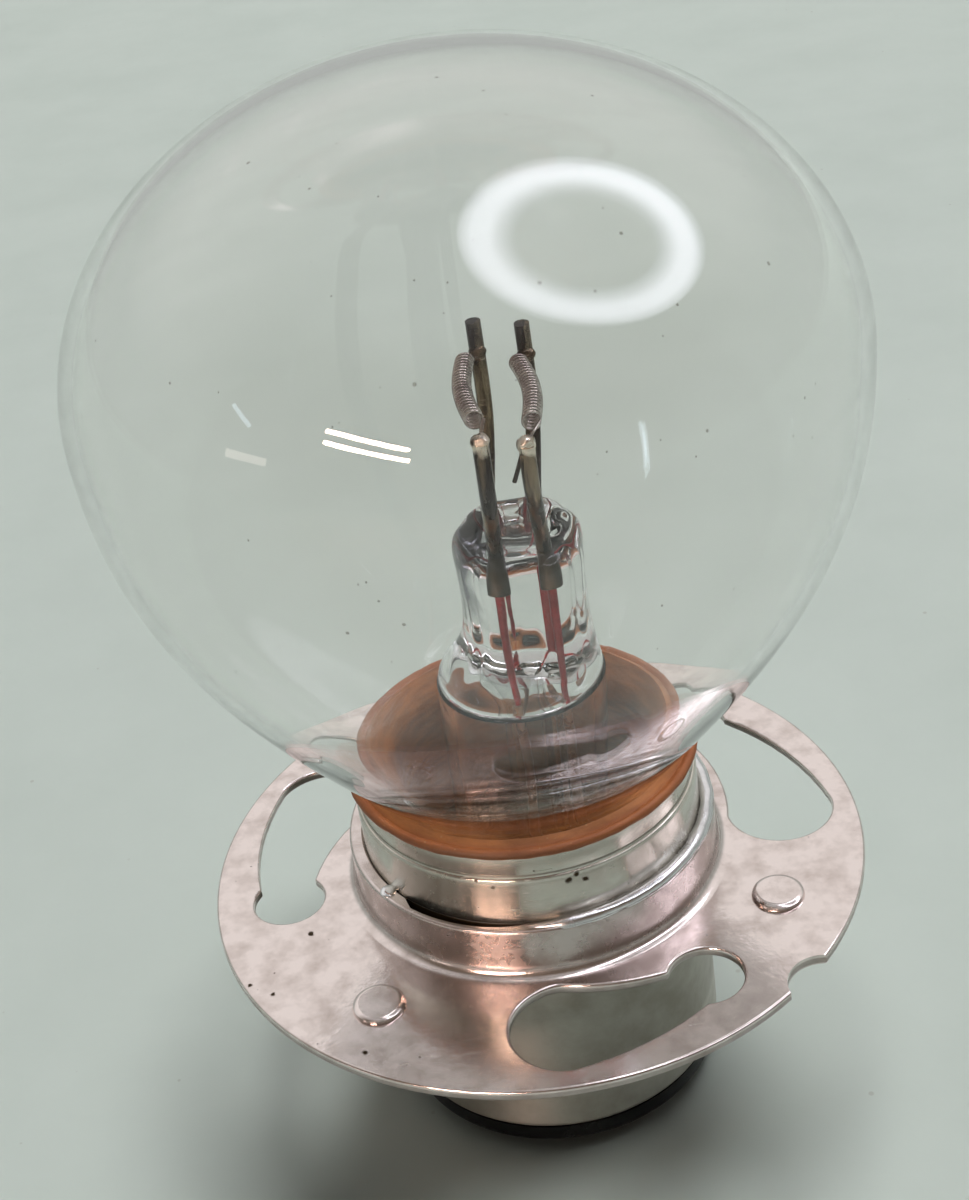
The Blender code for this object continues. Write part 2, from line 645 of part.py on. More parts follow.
# Leads and filaments
def post_tip(name):
    """The upper end of a post. Front posts end under their coil, back posts stand above it."""
    coil, end = name.split("_")
    rise = -FRONT_POST_DROP if end == "front" else BACK_POST_RISE
    return Vector((COIL_X[coil] + POST_SIDE[name], END_SIGN[end] * POST_REACH, COIL_Z[coil] + rise))


def make_leads(finishes, parent):
    """The four leads: a nickel post above, a seal wire in the press and a copper wire below."""
    for name in LEAD_NAMES:
        x, y = lead_place(name)
        tip = post_tip(name)
        knee = LIGHT_CENTRE - FRONT_POST_DROP - POST_UPRIGHT
        post = [(x, y, POST_FOOT), (x, y, PRESS_TOP), (tip.x, tip.y, knee), tip]
        wire(f"{name}_post", post, POST_DIAMETER, finishes["nickel"], parent)
        seal = [(x, y, POST_FOOT - FIT), (x, y, PRESS_BOTTOM)]
        wire(f"{name}_seal_wire", seal, SEAL_DIAMETER, finishes["seal_wire"], parent)

    top = PRESS_BOTTOM - FIT
    under_flare = FLARE_BOTTOM - STEM_WALL
    half_way = (top + under_flare) / 2
    for coil, side in SIDE_SIGN.items():
        x, y = lead_place(f"{coil}_front")
        contact = side * CONTACT_SPACING / 2
        route = [(x, y, top), (x, y, half_way), (contact / 2, y, under_flare)]
        route += [(contact, y / 2, PLUG_TOP + 2 * LEAD_DROP), (contact, 0.0, PLUG_TOP + LEAD_DROP / 2)]
        route += [(contact, 0.0, PLATE_BOTTOM)]
        wire(f"{coil}_contact_lead", smooth_route(route), LEAD_DIAMETER, finishes["copper"], parent)

        x, y = lead_place(f"{coil}_back")
        turn = radians(90 - side * GROUND_ANGLE)
        reach = SHELL_BORE - FIT
        wall = (reach * cos(turn), reach * sin(turn))
        route = [(x, y, top), (x, y, half_way), (x, y, under_flare)]
        route += [((x + wall[0]) / 2, (y + wall[1]) / 2, under_flare - LEAD_DROP)]
        route += [(*wall, under_flare - 2 * LEAD_DROP)]
        wire(f"{coil}_ground_lead", smooth_route(route), LEAD_DIAMETER, finishes["copper"], parent)


def coil_points(coil):
    """The filament's middle line: a leg to each post and the turns between, bowed a little to one side."""
    bow = SIDE_SIGN[coil] * COIL_BOW
    count = COIL_TURNS * COIL_POINTS_A_TURN
    turns = []
    for step in range(count + 1):
        share = step / count
        turn = 2 * pi * COIL_TURNS * share
        x = COIL_X[coil] + bow * sin(pi * share) + COIL_RADIUS * cos(turn)
        y = COIL_LENGTH * (0.5 - share)
        turns.append(Vector((x, y, COIL_Z[coil] + COIL_RADIUS * sin(turn))))
    clear = POST_DIAMETER / 2 + COIL_WIRE / 2 + FIT
    back = post_tip(f"{coil}_back")
    back.z = turns[0].z
    leg_back = back + (turns[0] - back).normalized() * clear
    front = post_tip(f"{coil}_front") + Vector((0.0, 0.0, COIL_WIRE / 2 + FIT))
    return [leg_back] + turns + [front]


def least_gap(points, diameter):
    """The least clear distance between parts of a wire that lie at least half a turn apart along it."""
    apart = COIL_POINTS_A_TURN // 2
    spans = [
        (points[i] - points[j]).length
        for i in range(len(points))
        for j in range(i + apart, len(points))
    ]
    return min(spans) - diameter


def make_filaments(finishes, parent):
    """The two tungsten coils, each one unbroken wire."""
    for coil in COIL_X:
        points = coil_points(coil)
        wire(f"{coil}_filament", points, COIL_WIRE, finishes["tungsten"], parent, resolution=1)
        print(f"{coil}_filament: least gap to itself {least_gap(points, COIL_WIRE) * 1000:.2f} mm")


def main():
    """Build the bulb from an empty scene."""
    for old in list(bpy.data.objects):
        bpy.data.objects.remove(old, do_unlink=True)
    bulb = bpy.data.objects.new("headlight_bulb", None)
    bpy.context.scene.collection.objects.link(bulb)
    finishes = all_materials()
    make_flange(finishes, bulb)
    make_shell(finishes, bulb)
    make_solder(finishes, bulb)
    make_insulator(finishes, bulb)
    for name, side in (("left", -1), ("right", 1)):
        make_contact(name, side, finishes, bulb)
    make_envelope(finishes, bulb)
    make_cement(finishes, bulb)
    make_flare(finishes, bulb)
    make_press(finishes, bulb)
    make_exhaust(finishes, bulb)
    make_leads(finishes, bulb)
    make_filaments(finishes, bulb)


main()
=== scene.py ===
"""Looks of a twin-filament prefocus headlight bulb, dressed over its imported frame.

Lengths are in metres. +Z runs up the lamp axis, -Y faces the camera and the bulb stands on z = 0.
"""

import logging
from collections.abc import Callable
from dataclasses import dataclass
from enum import Enum
from math import asin, atan2, cos, degrees, hypot, pi, radians, sin, tan
from typing import ClassVar

import bpy
from mathutils import Euler, Matrix, Vector
from mathutils.geometry import interpolate_bezier

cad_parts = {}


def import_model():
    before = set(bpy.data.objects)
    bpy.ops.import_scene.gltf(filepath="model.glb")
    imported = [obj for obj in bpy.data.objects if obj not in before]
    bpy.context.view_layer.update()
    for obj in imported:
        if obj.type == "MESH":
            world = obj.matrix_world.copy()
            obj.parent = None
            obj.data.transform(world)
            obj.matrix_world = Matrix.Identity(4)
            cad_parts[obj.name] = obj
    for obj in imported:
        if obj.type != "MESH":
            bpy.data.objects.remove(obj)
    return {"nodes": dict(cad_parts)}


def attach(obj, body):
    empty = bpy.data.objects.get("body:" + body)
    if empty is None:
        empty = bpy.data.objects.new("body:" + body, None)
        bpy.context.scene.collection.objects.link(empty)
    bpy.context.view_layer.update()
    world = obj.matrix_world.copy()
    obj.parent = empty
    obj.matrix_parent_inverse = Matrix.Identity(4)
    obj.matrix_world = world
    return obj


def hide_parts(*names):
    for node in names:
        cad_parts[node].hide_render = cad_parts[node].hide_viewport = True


LOG = logging.getLogger("bulb")
BODY = "root"
SEED_SIZE = 0.0002
MERGE = 1e-6
SLIVER = 3e-6
HAIR = 0.00002
FLAT = radians(0.05)
SOFT_CREASE = 60.0
ORDER_POINT = (0.0311, 0.0473, 0.0279)

Pair = tuple[float, float]
Outline = list[Pair]
Place = tuple[float, float, float]
Colour = tuple[float, float, float]
Spot = tuple[Place, float]
Piece = bpy.types.Object
Socket = bpy.types.NodeSocket


# Modelling moves
class Ends(Enum):
    """How a stack of rings is closed."""

    FILLED = "filled"
    POLE = "pole"
    LOOPED = "looped"


class Cut(Enum):
    """What a helper solid does to a piece."""

    AWAY = "DIFFERENCE"
    ONTO = "UNION"


@dataclass(frozen=True)
class Ring:
    """One level section of a stack: its middle, and its reach along X and Y."""

    x: float
    z: float
    wide: float
    deep: float
    y: float = 0.0


class Bench:
    """The hand-modelling moves that every sub-assembly shares."""

    @staticmethod
    def only(piece: Piece) -> None:
        """Select one piece alone and make it active.

        Args:
            piece: The piece.
        """
        bpy.ops.object.select_all(action="DESELECT")
        piece.select_set(True)
        bpy.context.view_layer.objects.active = piece

    @staticmethod
    def fresh(name: str) -> Piece:
        """Name the object that was just added and put its place into its mesh.

        Args:
            name: The piece's name.

        Returns:
            The new object, at the origin.
        """
        piece = bpy.context.active_object
        piece.name = name
        piece.data.name = name
        bpy.ops.object.transform_apply(location=True, rotation=True, scale=True)
        return piece

    @staticmethod
    def traced(name: str, points: list[Place]) -> Piece:
        """Close a small plane up to one vertex and extrude it from point to point.

        Args:
            name: The piece's name.
            points: The points of the line.

        Returns:
            The new object, in edit mode with its whole line selected.
        """
        bpy.ops.object.select_all(action="DESELECT")
        bpy.ops.mesh.primitive_plane_add(size=SEED_SIZE, location=points[0])
        piece = Bench.fresh(name)
        bpy.ops.object.mode_set(mode="EDIT")
        bpy.ops.mesh.select_all(action="SELECT")
        bpy.ops.mesh.merge(type="CENTER")
        for start, end in zip(points, points[1:]):
            step = Vector(end) - Vector(start)
            bpy.ops.mesh.extrude_region_move(TRANSFORM_OT_translate={"value": step})
        bpy.ops.mesh.select_all(action="SELECT")
        bpy.ops.mesh.remove_doubles(threshold=MERGE)
        return piece

    @staticmethod
    def tidy() -> None:
        """Merge doubled vertices, turn all faces outwards and leave edit mode."""
        bpy.ops.mesh.select_all(action="SELECT")
        bpy.ops.mesh.remove_doubles(threshold=MERGE)
        bpy.ops.mesh.normals_make_consistent(inside=False)
        bpy.ops.object.mode_set(mode="OBJECT")

    @staticmethod
    def turned(name: str, outline: Outline, steps: int) -> Piece:
        """Draw half of a section and spin it round the lamp axis.

        Args:
            name: The piece's name.
            outline: Radius and level of each point. It is closed unless both of its ends are on the axis.
            steps: How many steps go round.

        Returns:
            The turned piece.
        """
        points = [(radius, 0.0, level) for radius, level in outline]
        on_axis = outline[0][0] == 0.0 and outline[-1][0] == 0.0
        piece = Bench.traced(name, points if on_axis else points + points[:1])
        bpy.ops.mesh.spin(steps=steps, angle=2 * pi, center=(0, 0, 0), axis=(0, 0, 1))
        Bench.tidy()
        return piece

    @staticmethod
    def prism(name: str, outline: Outline, bottom: float, top: float) -> Piece:
        """Draw a flat outline, fill it and raise it.

        Args:
            name: The piece's name.
            outline: X and Y of each corner.
            bottom: Level of the outline.
            top: Level that it is raised to.

        Returns:
            The closed prism.
        """
        points = [(x, y, bottom) for x, y in outline]
        piece = Bench.traced(name, points + points[:1])
        bpy.ops.mesh.edge_face_add()
        bpy.ops.mesh.extrude_region_move(TRANSFORM_OT_translate={"value": (0, 0, top - bottom)})
        Bench.tidy()
        return piece

    @staticmethod
    def stack(name: str, rings: list[Ring], sides: int, ends: Ends) -> Piece:
        """Raise a ring level by level, moving and scaling it at each one.

        Args:
            name: The piece's name.
            rings: The sections in order.
            sides: How many vertices each ring has.
            ends: How the stack is closed.

        Returns:
            The closed piece.
        """
        first = rings[0]
        middle = (first.x, first.y, first.z)
        fill = "NOTHING" if ends is Ends.LOOPED else "NGON"
        bpy.ops.object.select_all(action="DESELECT")
        settings = {"vertices": sides, "radius": first.wide, "fill_type": fill, "location": middle}
        bpy.ops.mesh.primitive_circle_add(**settings)
        piece = Bench.fresh(name)
        bpy.ops.object.mode_set(mode="EDIT")
        bpy.ops.mesh.select_all(action="SELECT")
        bpy.ops.transform.resize(value=(1.0, first.deep / first.wide, 1.0), center_override=middle)
        for last, ring in zip(rings, rings[1:] + (rings[:1] if ends is Ends.LOOPED else [])):
            step = (ring.x - last.x, ring.y - last.y, ring.z - last.z)
            grow = (ring.wide / last.wide, ring.deep / last.deep, 1.0)
            bpy.ops.mesh.extrude_region_move(TRANSFORM_OT_translate={"value": step})
            bpy.ops.transform.resize(value=grow, center_override=(ring.x, ring.y, ring.z))
        if ends is Ends.POLE:
            bpy.ops.mesh.merge(type="CENTER")
        Bench.tidy()
        return piece

    @staticmethod
    def tube(name: str, points: list[Place], radius: float, resolution: int = 4) -> Piece:
        """Lay a round wire along a path and make it a mesh.

        Args:
            name: The piece's name.
            points: The wire's middle line. A fourth number, where given, scales the radius there.
            radius: The wire's radius.
            resolution: How finely the wire is rounded.

        Returns:
            The wire with both ends closed.
        """
        bpy.ops.object.select_all(action="DESELECT")
        bpy.ops.curve.primitive_bezier_curve_add(location=(0, 0, 0))
        piece = Bench.fresh(name)
        curve = piece.data
        curve.splines.clear()
        spline = curve.splines.new("POLY")
        spline.points.add(len(points) - 1)
        for target, point in zip(spline.points, points):
            target.co = (point[0], point[1], point[2], 1.0)
            target.radius = point[3] if len(point) > 3 else 1.0
        curve.bevel_depth = radius
        curve.bevel_resolution = resolution
        curve.use_fill_caps = True
        bpy.ops.object.convert(target="MESH")
        bpy.ops.object.mode_set(mode="EDIT")
        Bench.tidy()
        return piece

    @staticmethod
    def blob(name: str, place: Place, reach: Place, lump: float) -> Piece:
        """Squash a fine sphere into an uneven drop.

        Args:
            name: The piece's name.
            place: The drop's middle.
            reach: Its half sizes along X, Y and Z.
            lump: How deep its unevenness is.

        Returns:
            The drop.
        """
        bpy.ops.object.select_all(action="DESELECT")
        bpy.ops.mesh.primitive_ico_sphere_add(subdivisions=4, radius=1.0, location=place, scale=reach)
        piece = Bench.fresh(name)
        Bench.lumps(piece, max(reach), lump)
        return piece

    @staticmethod
    def pick(piece: Piece, wanted: Callable[[Vector], bool]) -> None:
        """Go into edit mode with only those vertices selected that a test picks out.

        Args:
            piece: The piece.
            wanted: Takes a vertex's place and says whether it is selected.
        """
        Bench.only(piece)
        bpy.ops.object.mode_set(mode="EDIT")
        bpy.ops.mesh.select_mode(type="VERT")
        bpy.ops.mesh.select_all(action="DESELECT")
        bpy.ops.object.mode_set(mode="OBJECT")
        for vertex in piece.data.vertices:
            vertex.select = wanted(vertex.co)
        bpy.ops.object.mode_set(mode="EDIT")

    @staticmethod
    def modifier(piece: Piece, kind: str, **settings: object) -> None:
        """Add one modifier with its settings and apply it.

        Args:
            piece: The piece it works on.
            kind: Blender's name for the modifier.
            settings: The modifier's properties.
        """
        Bench.only(piece)
        bpy.ops.object.modifier_add(type=kind)
        made = piece.modifiers[-1]
        for key, value in settings.items():
            setattr(made, key, value)
        bpy.ops.object.modifier_apply(modifier=made.name)

    @staticmethod
    def shape(piece: Piece, tool: Piece, cut: Cut) -> None:
        """Cut a helper away from a piece, or join it on, and delete the helper."""
        Bench.modifier(piece, "BOOLEAN", operation=cut.value, solver="EXACT", object=tool)
        bpy.data.objects.remove(tool, do_unlink=True)

    @staticmethod
    def lumps(piece: Piece, size: float, depth: float) -> None:
        """Push the surface in and out by a soft cloud pattern.

        Args:
            piece: The piece.
            size: The size of one lump.
            depth: How far the highest and lowest points lie apart.
        """
        clouds = bpy.data.textures.new(piece.name, "CLOUDS")
        clouds.noise_scale = size
        settings = {"texture_coords": "LOCAL", "mid_level": 0.5, "strength": depth}
        Bench.modifier(piece, "DISPLACE", texture=clouds, **settings)

    @staticmethod
    def merge_flats(piece: Piece) -> None:
        """Make one face again of a flat face that cuts have split, and drop what has no area.

        A cut leaves its faces in an order that differs from run to run, so they are put in order first.

        Args:
            piece: The piece.
        """
        Bench.only(piece)
        bpy.ops.object.mode_set(mode="EDIT")
        bpy.ops.mesh.select_all(action="SELECT")
        bpy.context.scene.cursor.location = ORDER_POINT
        bpy.ops.mesh.sort_elements(type="CURSOR_DISTANCE", elements={"VERT", "EDGE", "FACE"})
        bpy.ops.mesh.remove_doubles(threshold=SLIVER)
        bpy.ops.mesh.dissolve_limited(angle_limit=FLAT)
        bpy.ops.mesh.dissolve_degenerate(threshold=SLIVER)
        bpy.ops.object.mode_set(mode="OBJECT")

    @staticmethod
    def bevel_sharp(piece: Piece, angle: float, width: float, segments: int) -> None:
        """Round every edge that turns by more than an angle.

        Args:
            piece: The piece.
            angle: The least turn in degrees.
            width: The width of the rounding.
            segments: How many facets make it.
        """
        limit = {"limit_method": "ANGLE", "angle_limit": radians(angle), "use_clamp_overlap": False}
        Bench.modifier(piece, "BEVEL", width=width, segments=segments, **limit)

    @staticmethod
    def settle(piece: Piece, node: str, finish: "Finish", crease: float = 35.0) -> None:
        """Smooth a piece, dress it and let it stand for its node.

        Args:
            piece: The finished piece.
            node: The node that it replaces.
            finish: What it is made of.
            crease: The turn in degrees above which an edge stays sharp.
        """
        Bench.only(piece)
        bpy.ops.object.shade_smooth_by_angle(angle=radians(crease))
        if not finish.passes_light:
            Bench.modifier(piece, "WEIGHTED_NORMAL", keep_sharp=True)
        piece.data.materials.clear()
        piece.data.materials.append(finish.material())
        piece.visible_shadow = not finish.passes_light
        piece.visible_diffuse = not finish.passes_light
        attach(piece, BODY)
        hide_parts(node)
        LOG.info("%s: %d faces stand for %s", piece.name, len(piece.data.polygons), node)


class Draw:
    """Points of the lines that outlines are made of."""

    @staticmethod
    def arc(centre: Pair, radius: float, start: float, end: float, steps: int) -> Outline:
        """Points of an arc in the plane.

        Args:
            centre: The arc's centre.
            radius: Its radius.
            start: The angle that it starts at, in degrees.
            end: The angle that it ends at.
            steps: How many chords it has.

        Returns:
            The points with both ends.
        """
        turns = [radians(start + (end - start) * step / steps) for step in range(steps + 1)]
        return [(centre[0] + radius * cos(turn), centre[1] + radius * sin(turn)) for turn in turns]

    @staticmethod
    def polar(radius: float, turn: float) -> Pair:
        """The point at a radius from the axis, in a direction given in degrees."""
        return radius * cos(radians(turn)), radius * sin(radians(turn))

    @staticmethod
    def bezier(corners: Outline, steps: int) -> Outline:
        """Points of a cubic curve in the plane.

        Args:
            corners: Its start, the two handles and its end.
            steps: How many points it has.

        Returns:
            The points with both ends.
        """
        places = [Vector((*corner, 0.0)) for corner in corners]
        return [(point.x, point.y) for point in interpolate_bezier(*places, steps)]

    @staticmethod
    def route(points: list[Place], steps: int = 6) -> list[Place]:
        """A smooth line through given points, for a wire that is led along them.

        Args:
            points: The points that it goes through.
            steps: How many chords lie between two of them.

        Returns:
            The points of the line.
        """
        places = [Vector(point) for point in points]
        line = [places[0]]
        for i in range(len(places) - 1):
            before = places[max(i - 1, 0)]
            after = places[min(i + 2, len(places) - 1)]
            pull_out = places[i] + (places[i + 1] - before) / 6
            pull_in = places[i + 1] - (after - places[i]) / 6
            line += interpolate_bezier(places[i], pull_out, pull_in, places[i + 1], steps + 1)[1:]
        return [tuple(point) for point in line]

    @staticmethod
    def stadium(length: float, width: float, middle: float, steps: int = 10) -> Outline:
        """A flat outline with straight sides along Y and round ends.

        Args:
            length: Its length along Y.
            width: Its width along X.
            middle: The X of its middle.
            steps: How many chords each end has.

        Returns:
            The outline's points.
        """
        reach = (length - width) / 2
        upper = Draw.arc((middle, reach), width / 2, 0, 180, steps)
        return upper + Draw.arc((middle, -reach), width / 2, 180, 360, steps)


# Shader wiring
class Wiring:
    """A node tree with short calls to add and join its nodes."""

    def __init__(self, tree: bpy.types.NodeTree) -> None:
        """Keep the tree that is wired."""
        self.tree = tree

    @staticmethod
    def material(name: str) -> tuple[bpy.types.Material, "Wiring"]:
        """A new material and the wiring of its tree.

        Args:
            name: The material's name.

        Returns:
            The material and its wiring.
        """
        made = bpy.data.materials.new(name)
        made.use_nodes = True
        return made, Wiring(made.node_tree)

    def add(self, kind: str, **values: object) -> bpy.types.Node:
        """Add one node.

        Args:
            kind: The node's type.
            values: Its properties, or its input sockets with spaces written as underscores.

        Returns:
            The node.
        """
        node = self.tree.nodes.new(kind)
        for key, value in values.items():
            if hasattr(node, key):
                setattr(node, key, value)
            else:
                self.feed(node.inputs[key.replace("_", " ")], value)
        return node

    @property
    def shader(self) -> bpy.types.Node:
        """The material's own shader."""
        return self.tree.nodes["Principled BSDF"]

    def where(self) -> Socket:
        """Object coordinates, which are the lamp's own frame."""
        return self.add("ShaderNodeTexCoord").outputs["Object"]

    def feed(self, socket: Socket, value: object) -> None:
        """Join a socket to an output, or set its plain value.

        Args:
            socket: The socket.
            value: An output, or a number, vector or colour.
        """
        if isinstance(value, Socket):
            self.tree.links.new(value, socket)
        else:
            socket.default_value = value

    def span(self, value: Socket, low: object, high: object, *ends: float) -> Socket:
        """Map a value from one range to another, held at its ends.

        Args:
            value: The output that is mapped.
            low: Where the range starts.
            high: Where it ends.
            ends: The values at its start and end, 0 and 1 unless given.

        Returns:
            The mapped value's socket.
        """
        start, end = ends or (0.0, 1.0)
        settings = {"From_Min": low, "From_Max": high, "To_Min": start, "To_Max": end}
        return self.add("ShaderNodeMapRange", Value=value, **settings).outputs["Result"]

    def blend(self, factor: object, first: object, second: object) -> Socket:
        """Mix two colours.

        Args:
            factor: The share of the second colour.
            first: A colour or an output.
            second: A colour or an output.

        Returns:
            The mixed colour's socket.
        """
        node = self.tree.nodes.new("ShaderNodeMix")
        node.data_type = "RGBA"
        colours = [(*side, 1.0) if isinstance(side, tuple) else side for side in (first, second)]
        for socket, value in zip((node.inputs[0], node.inputs[6], node.inputs[7]), (factor, *colours)):
            self.feed(socket, value)
        return node.outputs[2]

    def math(self, operation: str, first: object, second: object) -> Socket:
        """Work out a sum, product or other operation on two values.

        Args:
            operation: Blender's name for it.
            first: A number or an output.
            second: A number or an output.

        Returns:
            The result's socket.
        """
        node = self.add("ShaderNodeMath", operation=operation)
        self.feed(node.inputs[0], first)
        self.feed(node.inputs[1], second)
        return node.outputs[0]

    def distance(self, place: object, centre: object) -> Socket:
        """How far a place lies from a point.

        Args:
            place: The place's vector.
            centre: The point's vector.

        Returns:
            The distance's socket.
        """
        node = self.add("ShaderNodeVectorMath", operation="DISTANCE")
        self.feed(node.inputs[0], place)
        self.feed(node.inputs[1], centre)
        return node.outputs["Value"]

    def from_axis(self, place: object) -> Socket:
        """How far a place lies from the lamp axis.

        Args:
            place: The place's vector.

        Returns:
            The distance's socket.
        """
        parts = self.add("ShaderNodeSeparateXYZ", Vector=place).outputs
        flat = self.add("ShaderNodeCombineXYZ", X=parts["X"], Y=parts["Y"]).outputs[0]
        return self.distance(flat, (0.0, 0.0, 0.0))

    def stretched(self, where: Socket, rise: float) -> Socket:
        """Coordinates that run faster or slower along the lamp axis."""
        return self.add("ShaderNodeMapping", Vector=where, Scale=(1.0, 1.0, rise)).outputs[0]

    def noise(self, vector: object, scale: object, detail: float, rough: float = 0.5) -> Socket:
        """A noise value between about 0.2 and 0.8."""
        node = self.add("ShaderNodeTexNoise", Vector=vector, Scale=scale, Detail=detail, Roughness=rough)
        return node.outputs["Fac"]

    def bump(self, shader: bpy.types.Node, height: Socket, strength: float, depth: float) -> None:
        """Give a shader an uneven surface.

        Args:
            shader: The material's Principled BSDF.
            height: The pattern of its hills.
            strength: The share of the pattern that shows.
            depth: How high the hills are.
        """
        node = self.add("ShaderNodeBump", Height=height, Strength=strength, Distance=depth)
        self.feed(shader.inputs["Normal"], node.outputs[0])


class Effect(Enum):
    """Surface effects that more than one finish uses."""

    CLOUDS = "tarnish_clouds"
    SPECKS = "dirt_specks"
    RUBS = "rub_lines"
    SPOT = "single_spot"


class Effects:
    """The shader node groups, each built once."""

    CLOUD_DETAIL: ClassVar[float] = 5.0
    CLOUD_ROUGH: ClassVar[float] = 0.6
    SPECK_CORE: ClassVar[float] = 0.6
    RUB_STRETCH: ClassVar[float] = 0.04
    RUB_DETAIL: ClassVar[float] = 3.0
    RUB_ROUGH: ClassVar[float] = 0.7
    RUB_SPAN: ClassVar[Pair] = (0.62, 0.72)
    SPOT_DETAIL: ClassVar[float] = 2.0
    SPOT_GAIN: ClassVar[float] = 2.0
    SPOT_CORE: ClassVar[float] = 0.5
    SOCKETS: ClassVar[dict[Effect, list[tuple[str, str]]]] = {
        Effect.CLOUDS: [("Vector", "Vector"), ("Scale", "Float"), ("Start", "Float"), ("End", "Float")],
        Effect.SPECKS: [("Vector", "Vector"), ("Scale", "Float"), ("Cover", "Float")],
        Effect.RUBS: [("Vector", "Vector"), ("Scale", "Float"), ("Turn", "Float")],
        Effect.SPOT: [("Vector", "Vector"), ("Centre", "Vector"), ("Radius", "Float"), ("Ragged", "Float")],
    }

    @staticmethod
    def group(effect: Effect) -> bpy.types.NodeTree:
        """The effect's node group.

        Args:
            effect: Which one.

        Returns:
            The group, built the first time that it is asked for.
        """
        found = bpy.data.node_groups.get(effect.value)
        if found is not None:
            return found
        tree = bpy.data.node_groups.new(effect.value, "ShaderNodeTree")
        for name, kind in Effects.SOCKETS[effect]:
            tree.interface.new_socket(name=name, in_out="INPUT", socket_type=f"NodeSocket{kind}")
        tree.interface.new_socket(name="Mask", in_out="OUTPUT", socket_type="NodeSocketFloat")
        wiring = Wiring(tree)
        inputs = wiring.add("NodeGroupInput").outputs
        result = wiring.add("NodeGroupOutput").inputs["Mask"]
        makers = {
            Effect.CLOUDS: Effects.clouds,
            Effect.SPECKS: Effects.specks,
            Effect.RUBS: Effects.rubs,
            Effect.SPOT: Effects.spot,
        }
        wiring.feed(result, makers[effect](wiring, inputs))
        return tree

    @staticmethod
    def clouds(wiring: Wiring, inputs: bpy.types.NodeOutputs) -> Socket:
        """Soft patches of uneven size.

        Args:
            wiring: The group's tree.
            inputs: The group's input sockets.

        Returns:
            The mask.
        """
        value = wiring.noise(inputs["Vector"], inputs["Scale"], Effects.CLOUD_DETAIL, Effects.CLOUD_ROUGH)
        return wiring.span(value, inputs["Start"], inputs["End"])

    @staticmethod
    def specks(wiring: Wiring, inputs: bpy.types.NodeOutputs) -> Socket:
        """Small round grains, some of them left out.

        Args:
            wiring: The group's tree.
            inputs: The group's input sockets.

        Returns:
            The mask.
        """
        cells = wiring.add("ShaderNodeTexVoronoi", Vector=inputs["Vector"], Scale=inputs["Scale"])
        size = wiring.math("MULTIPLY", cells.outputs["Color"], inputs["Cover"])
        edge = wiring.math("MULTIPLY", size, Effects.SPECK_CORE)
        return wiring.span(cells.outputs["Distance"], size, edge)

    @staticmethod
    def rubs(wiring: Wiring, inputs: bpy.types.NodeOutputs) -> Socket:
        """Fine lines that run one way, as left by handling.

        Args:
            wiring: The group's tree.
            inputs: The group's input sockets.

        Returns:
            The mask.
        """
        turn = wiring.add("ShaderNodeCombineXYZ", Z=inputs["Turn"]).outputs[0]
        drawn = {"Rotation": turn, "Scale": (Effects.RUB_STRETCH, 1.0, 1.0)}
        turned = wiring.add("ShaderNodeMapping", Vector=inputs["Vector"], **drawn).outputs[0]
        value = wiring.noise(turned, inputs["Scale"], Effects.RUB_DETAIL, Effects.RUB_ROUGH)
        return wiring.span(value, *Effects.RUB_SPAN)

    @staticmethod
    def spot(wiring: Wiring, inputs: bpy.types.NodeOutputs) -> Socket:
        """One small spot round a point, with an uneven edge, used for marks, painted highlights and a
        darker tint in glass.

        Args:
            wiring: The group's tree.
            inputs: The group's input sockets.

        Returns:
            The mask.
        """
        away = wiring.distance(inputs["Vector"], inputs["Centre"])
        ragged = wiring.noise(inputs["Vector"], inputs["Ragged"], Effects.SPOT_DETAIL)
        ragged = wiring.math("MULTIPLY", ragged, Effects.SPOT_GAIN)
        reach = wiring.math("MULTIPLY", ragged, inputs["Radius"])
        inner = wiring.math("MULTIPLY", reach, Effects.SPOT_CORE)
        return wiring.span(away, reach, inner)

    @staticmethod
    def place(wiring: Wiring, effect: Effect, *values: object) -> Socket:
        """Put an effect into a material.

        Args:
            wiring: The material's tree.
            effect: Which effect.
            values: What goes into the group's sockets, in their order.

        Returns:
            The effect's mask.
        """
        node = wiring.add("ShaderNodeGroup", node_tree=Effects.group(effect))
        for socket, value in zip(node.inputs, values):
            wiring.feed(socket, value)
        return node.outputs["Mask"]


# Finishes
@dataclass(frozen=True)
class Finish:
    """What a piece is made of, named as the record's material slot."""

    slot: str
    passes_light: ClassVar[bool] = False

    def material(self) -> bpy.types.Material:
        """The finish's material, made the first time that it is asked for.

        Returns:
            The material.
        """
        found = bpy.data.materials.get(f"fine_{self.slot}")
        if found is not None:
            return found
        made, wiring = Wiring.material(f"fine_{self.slot}")
        self.wire(wiring, wiring.shader, wiring.where())
        return made

    def wire(self, wiring: Wiring, shader: bpy.types.Node, where: Socket) -> None:
        """Join the finish's own nodes to the shader.

        Args:
            wiring: The material's tree.
            shader: Its Principled BSDF.
            where: Object coordinates.
        """
        raise NotImplementedError


@dataclass(frozen=True)
class DarkBand:
    """A band darkened between two levels, up to a radius from the axis, used mostly for painted shade."""

    low: float
    high: float
    reach: float
    share: float
    fade: float = 0.00006

    def mask(self, wiring: Wiring, where: Socket) -> Socket:
        """How dark each place is.

        Args:
            wiring: The material's tree.
            where: Object coordinates.

        Returns:
            The mask's socket.
        """
        level = wiring.add("ShaderNodeSeparateXYZ", Vector=where).outputs["Z"]
        above = wiring.span(level, self.low, self.low + self.fade)
        below = wiring.span(level, self.high - self.fade, self.high, 1.0, 0.0)
        near = wiring.span(wiring.from_axis(where), self.reach - self.fade, self.reach, self.share, 0.0)
        return wiring.math("MULTIPLY", near, wiring.math("MULTIPLY", above, below))


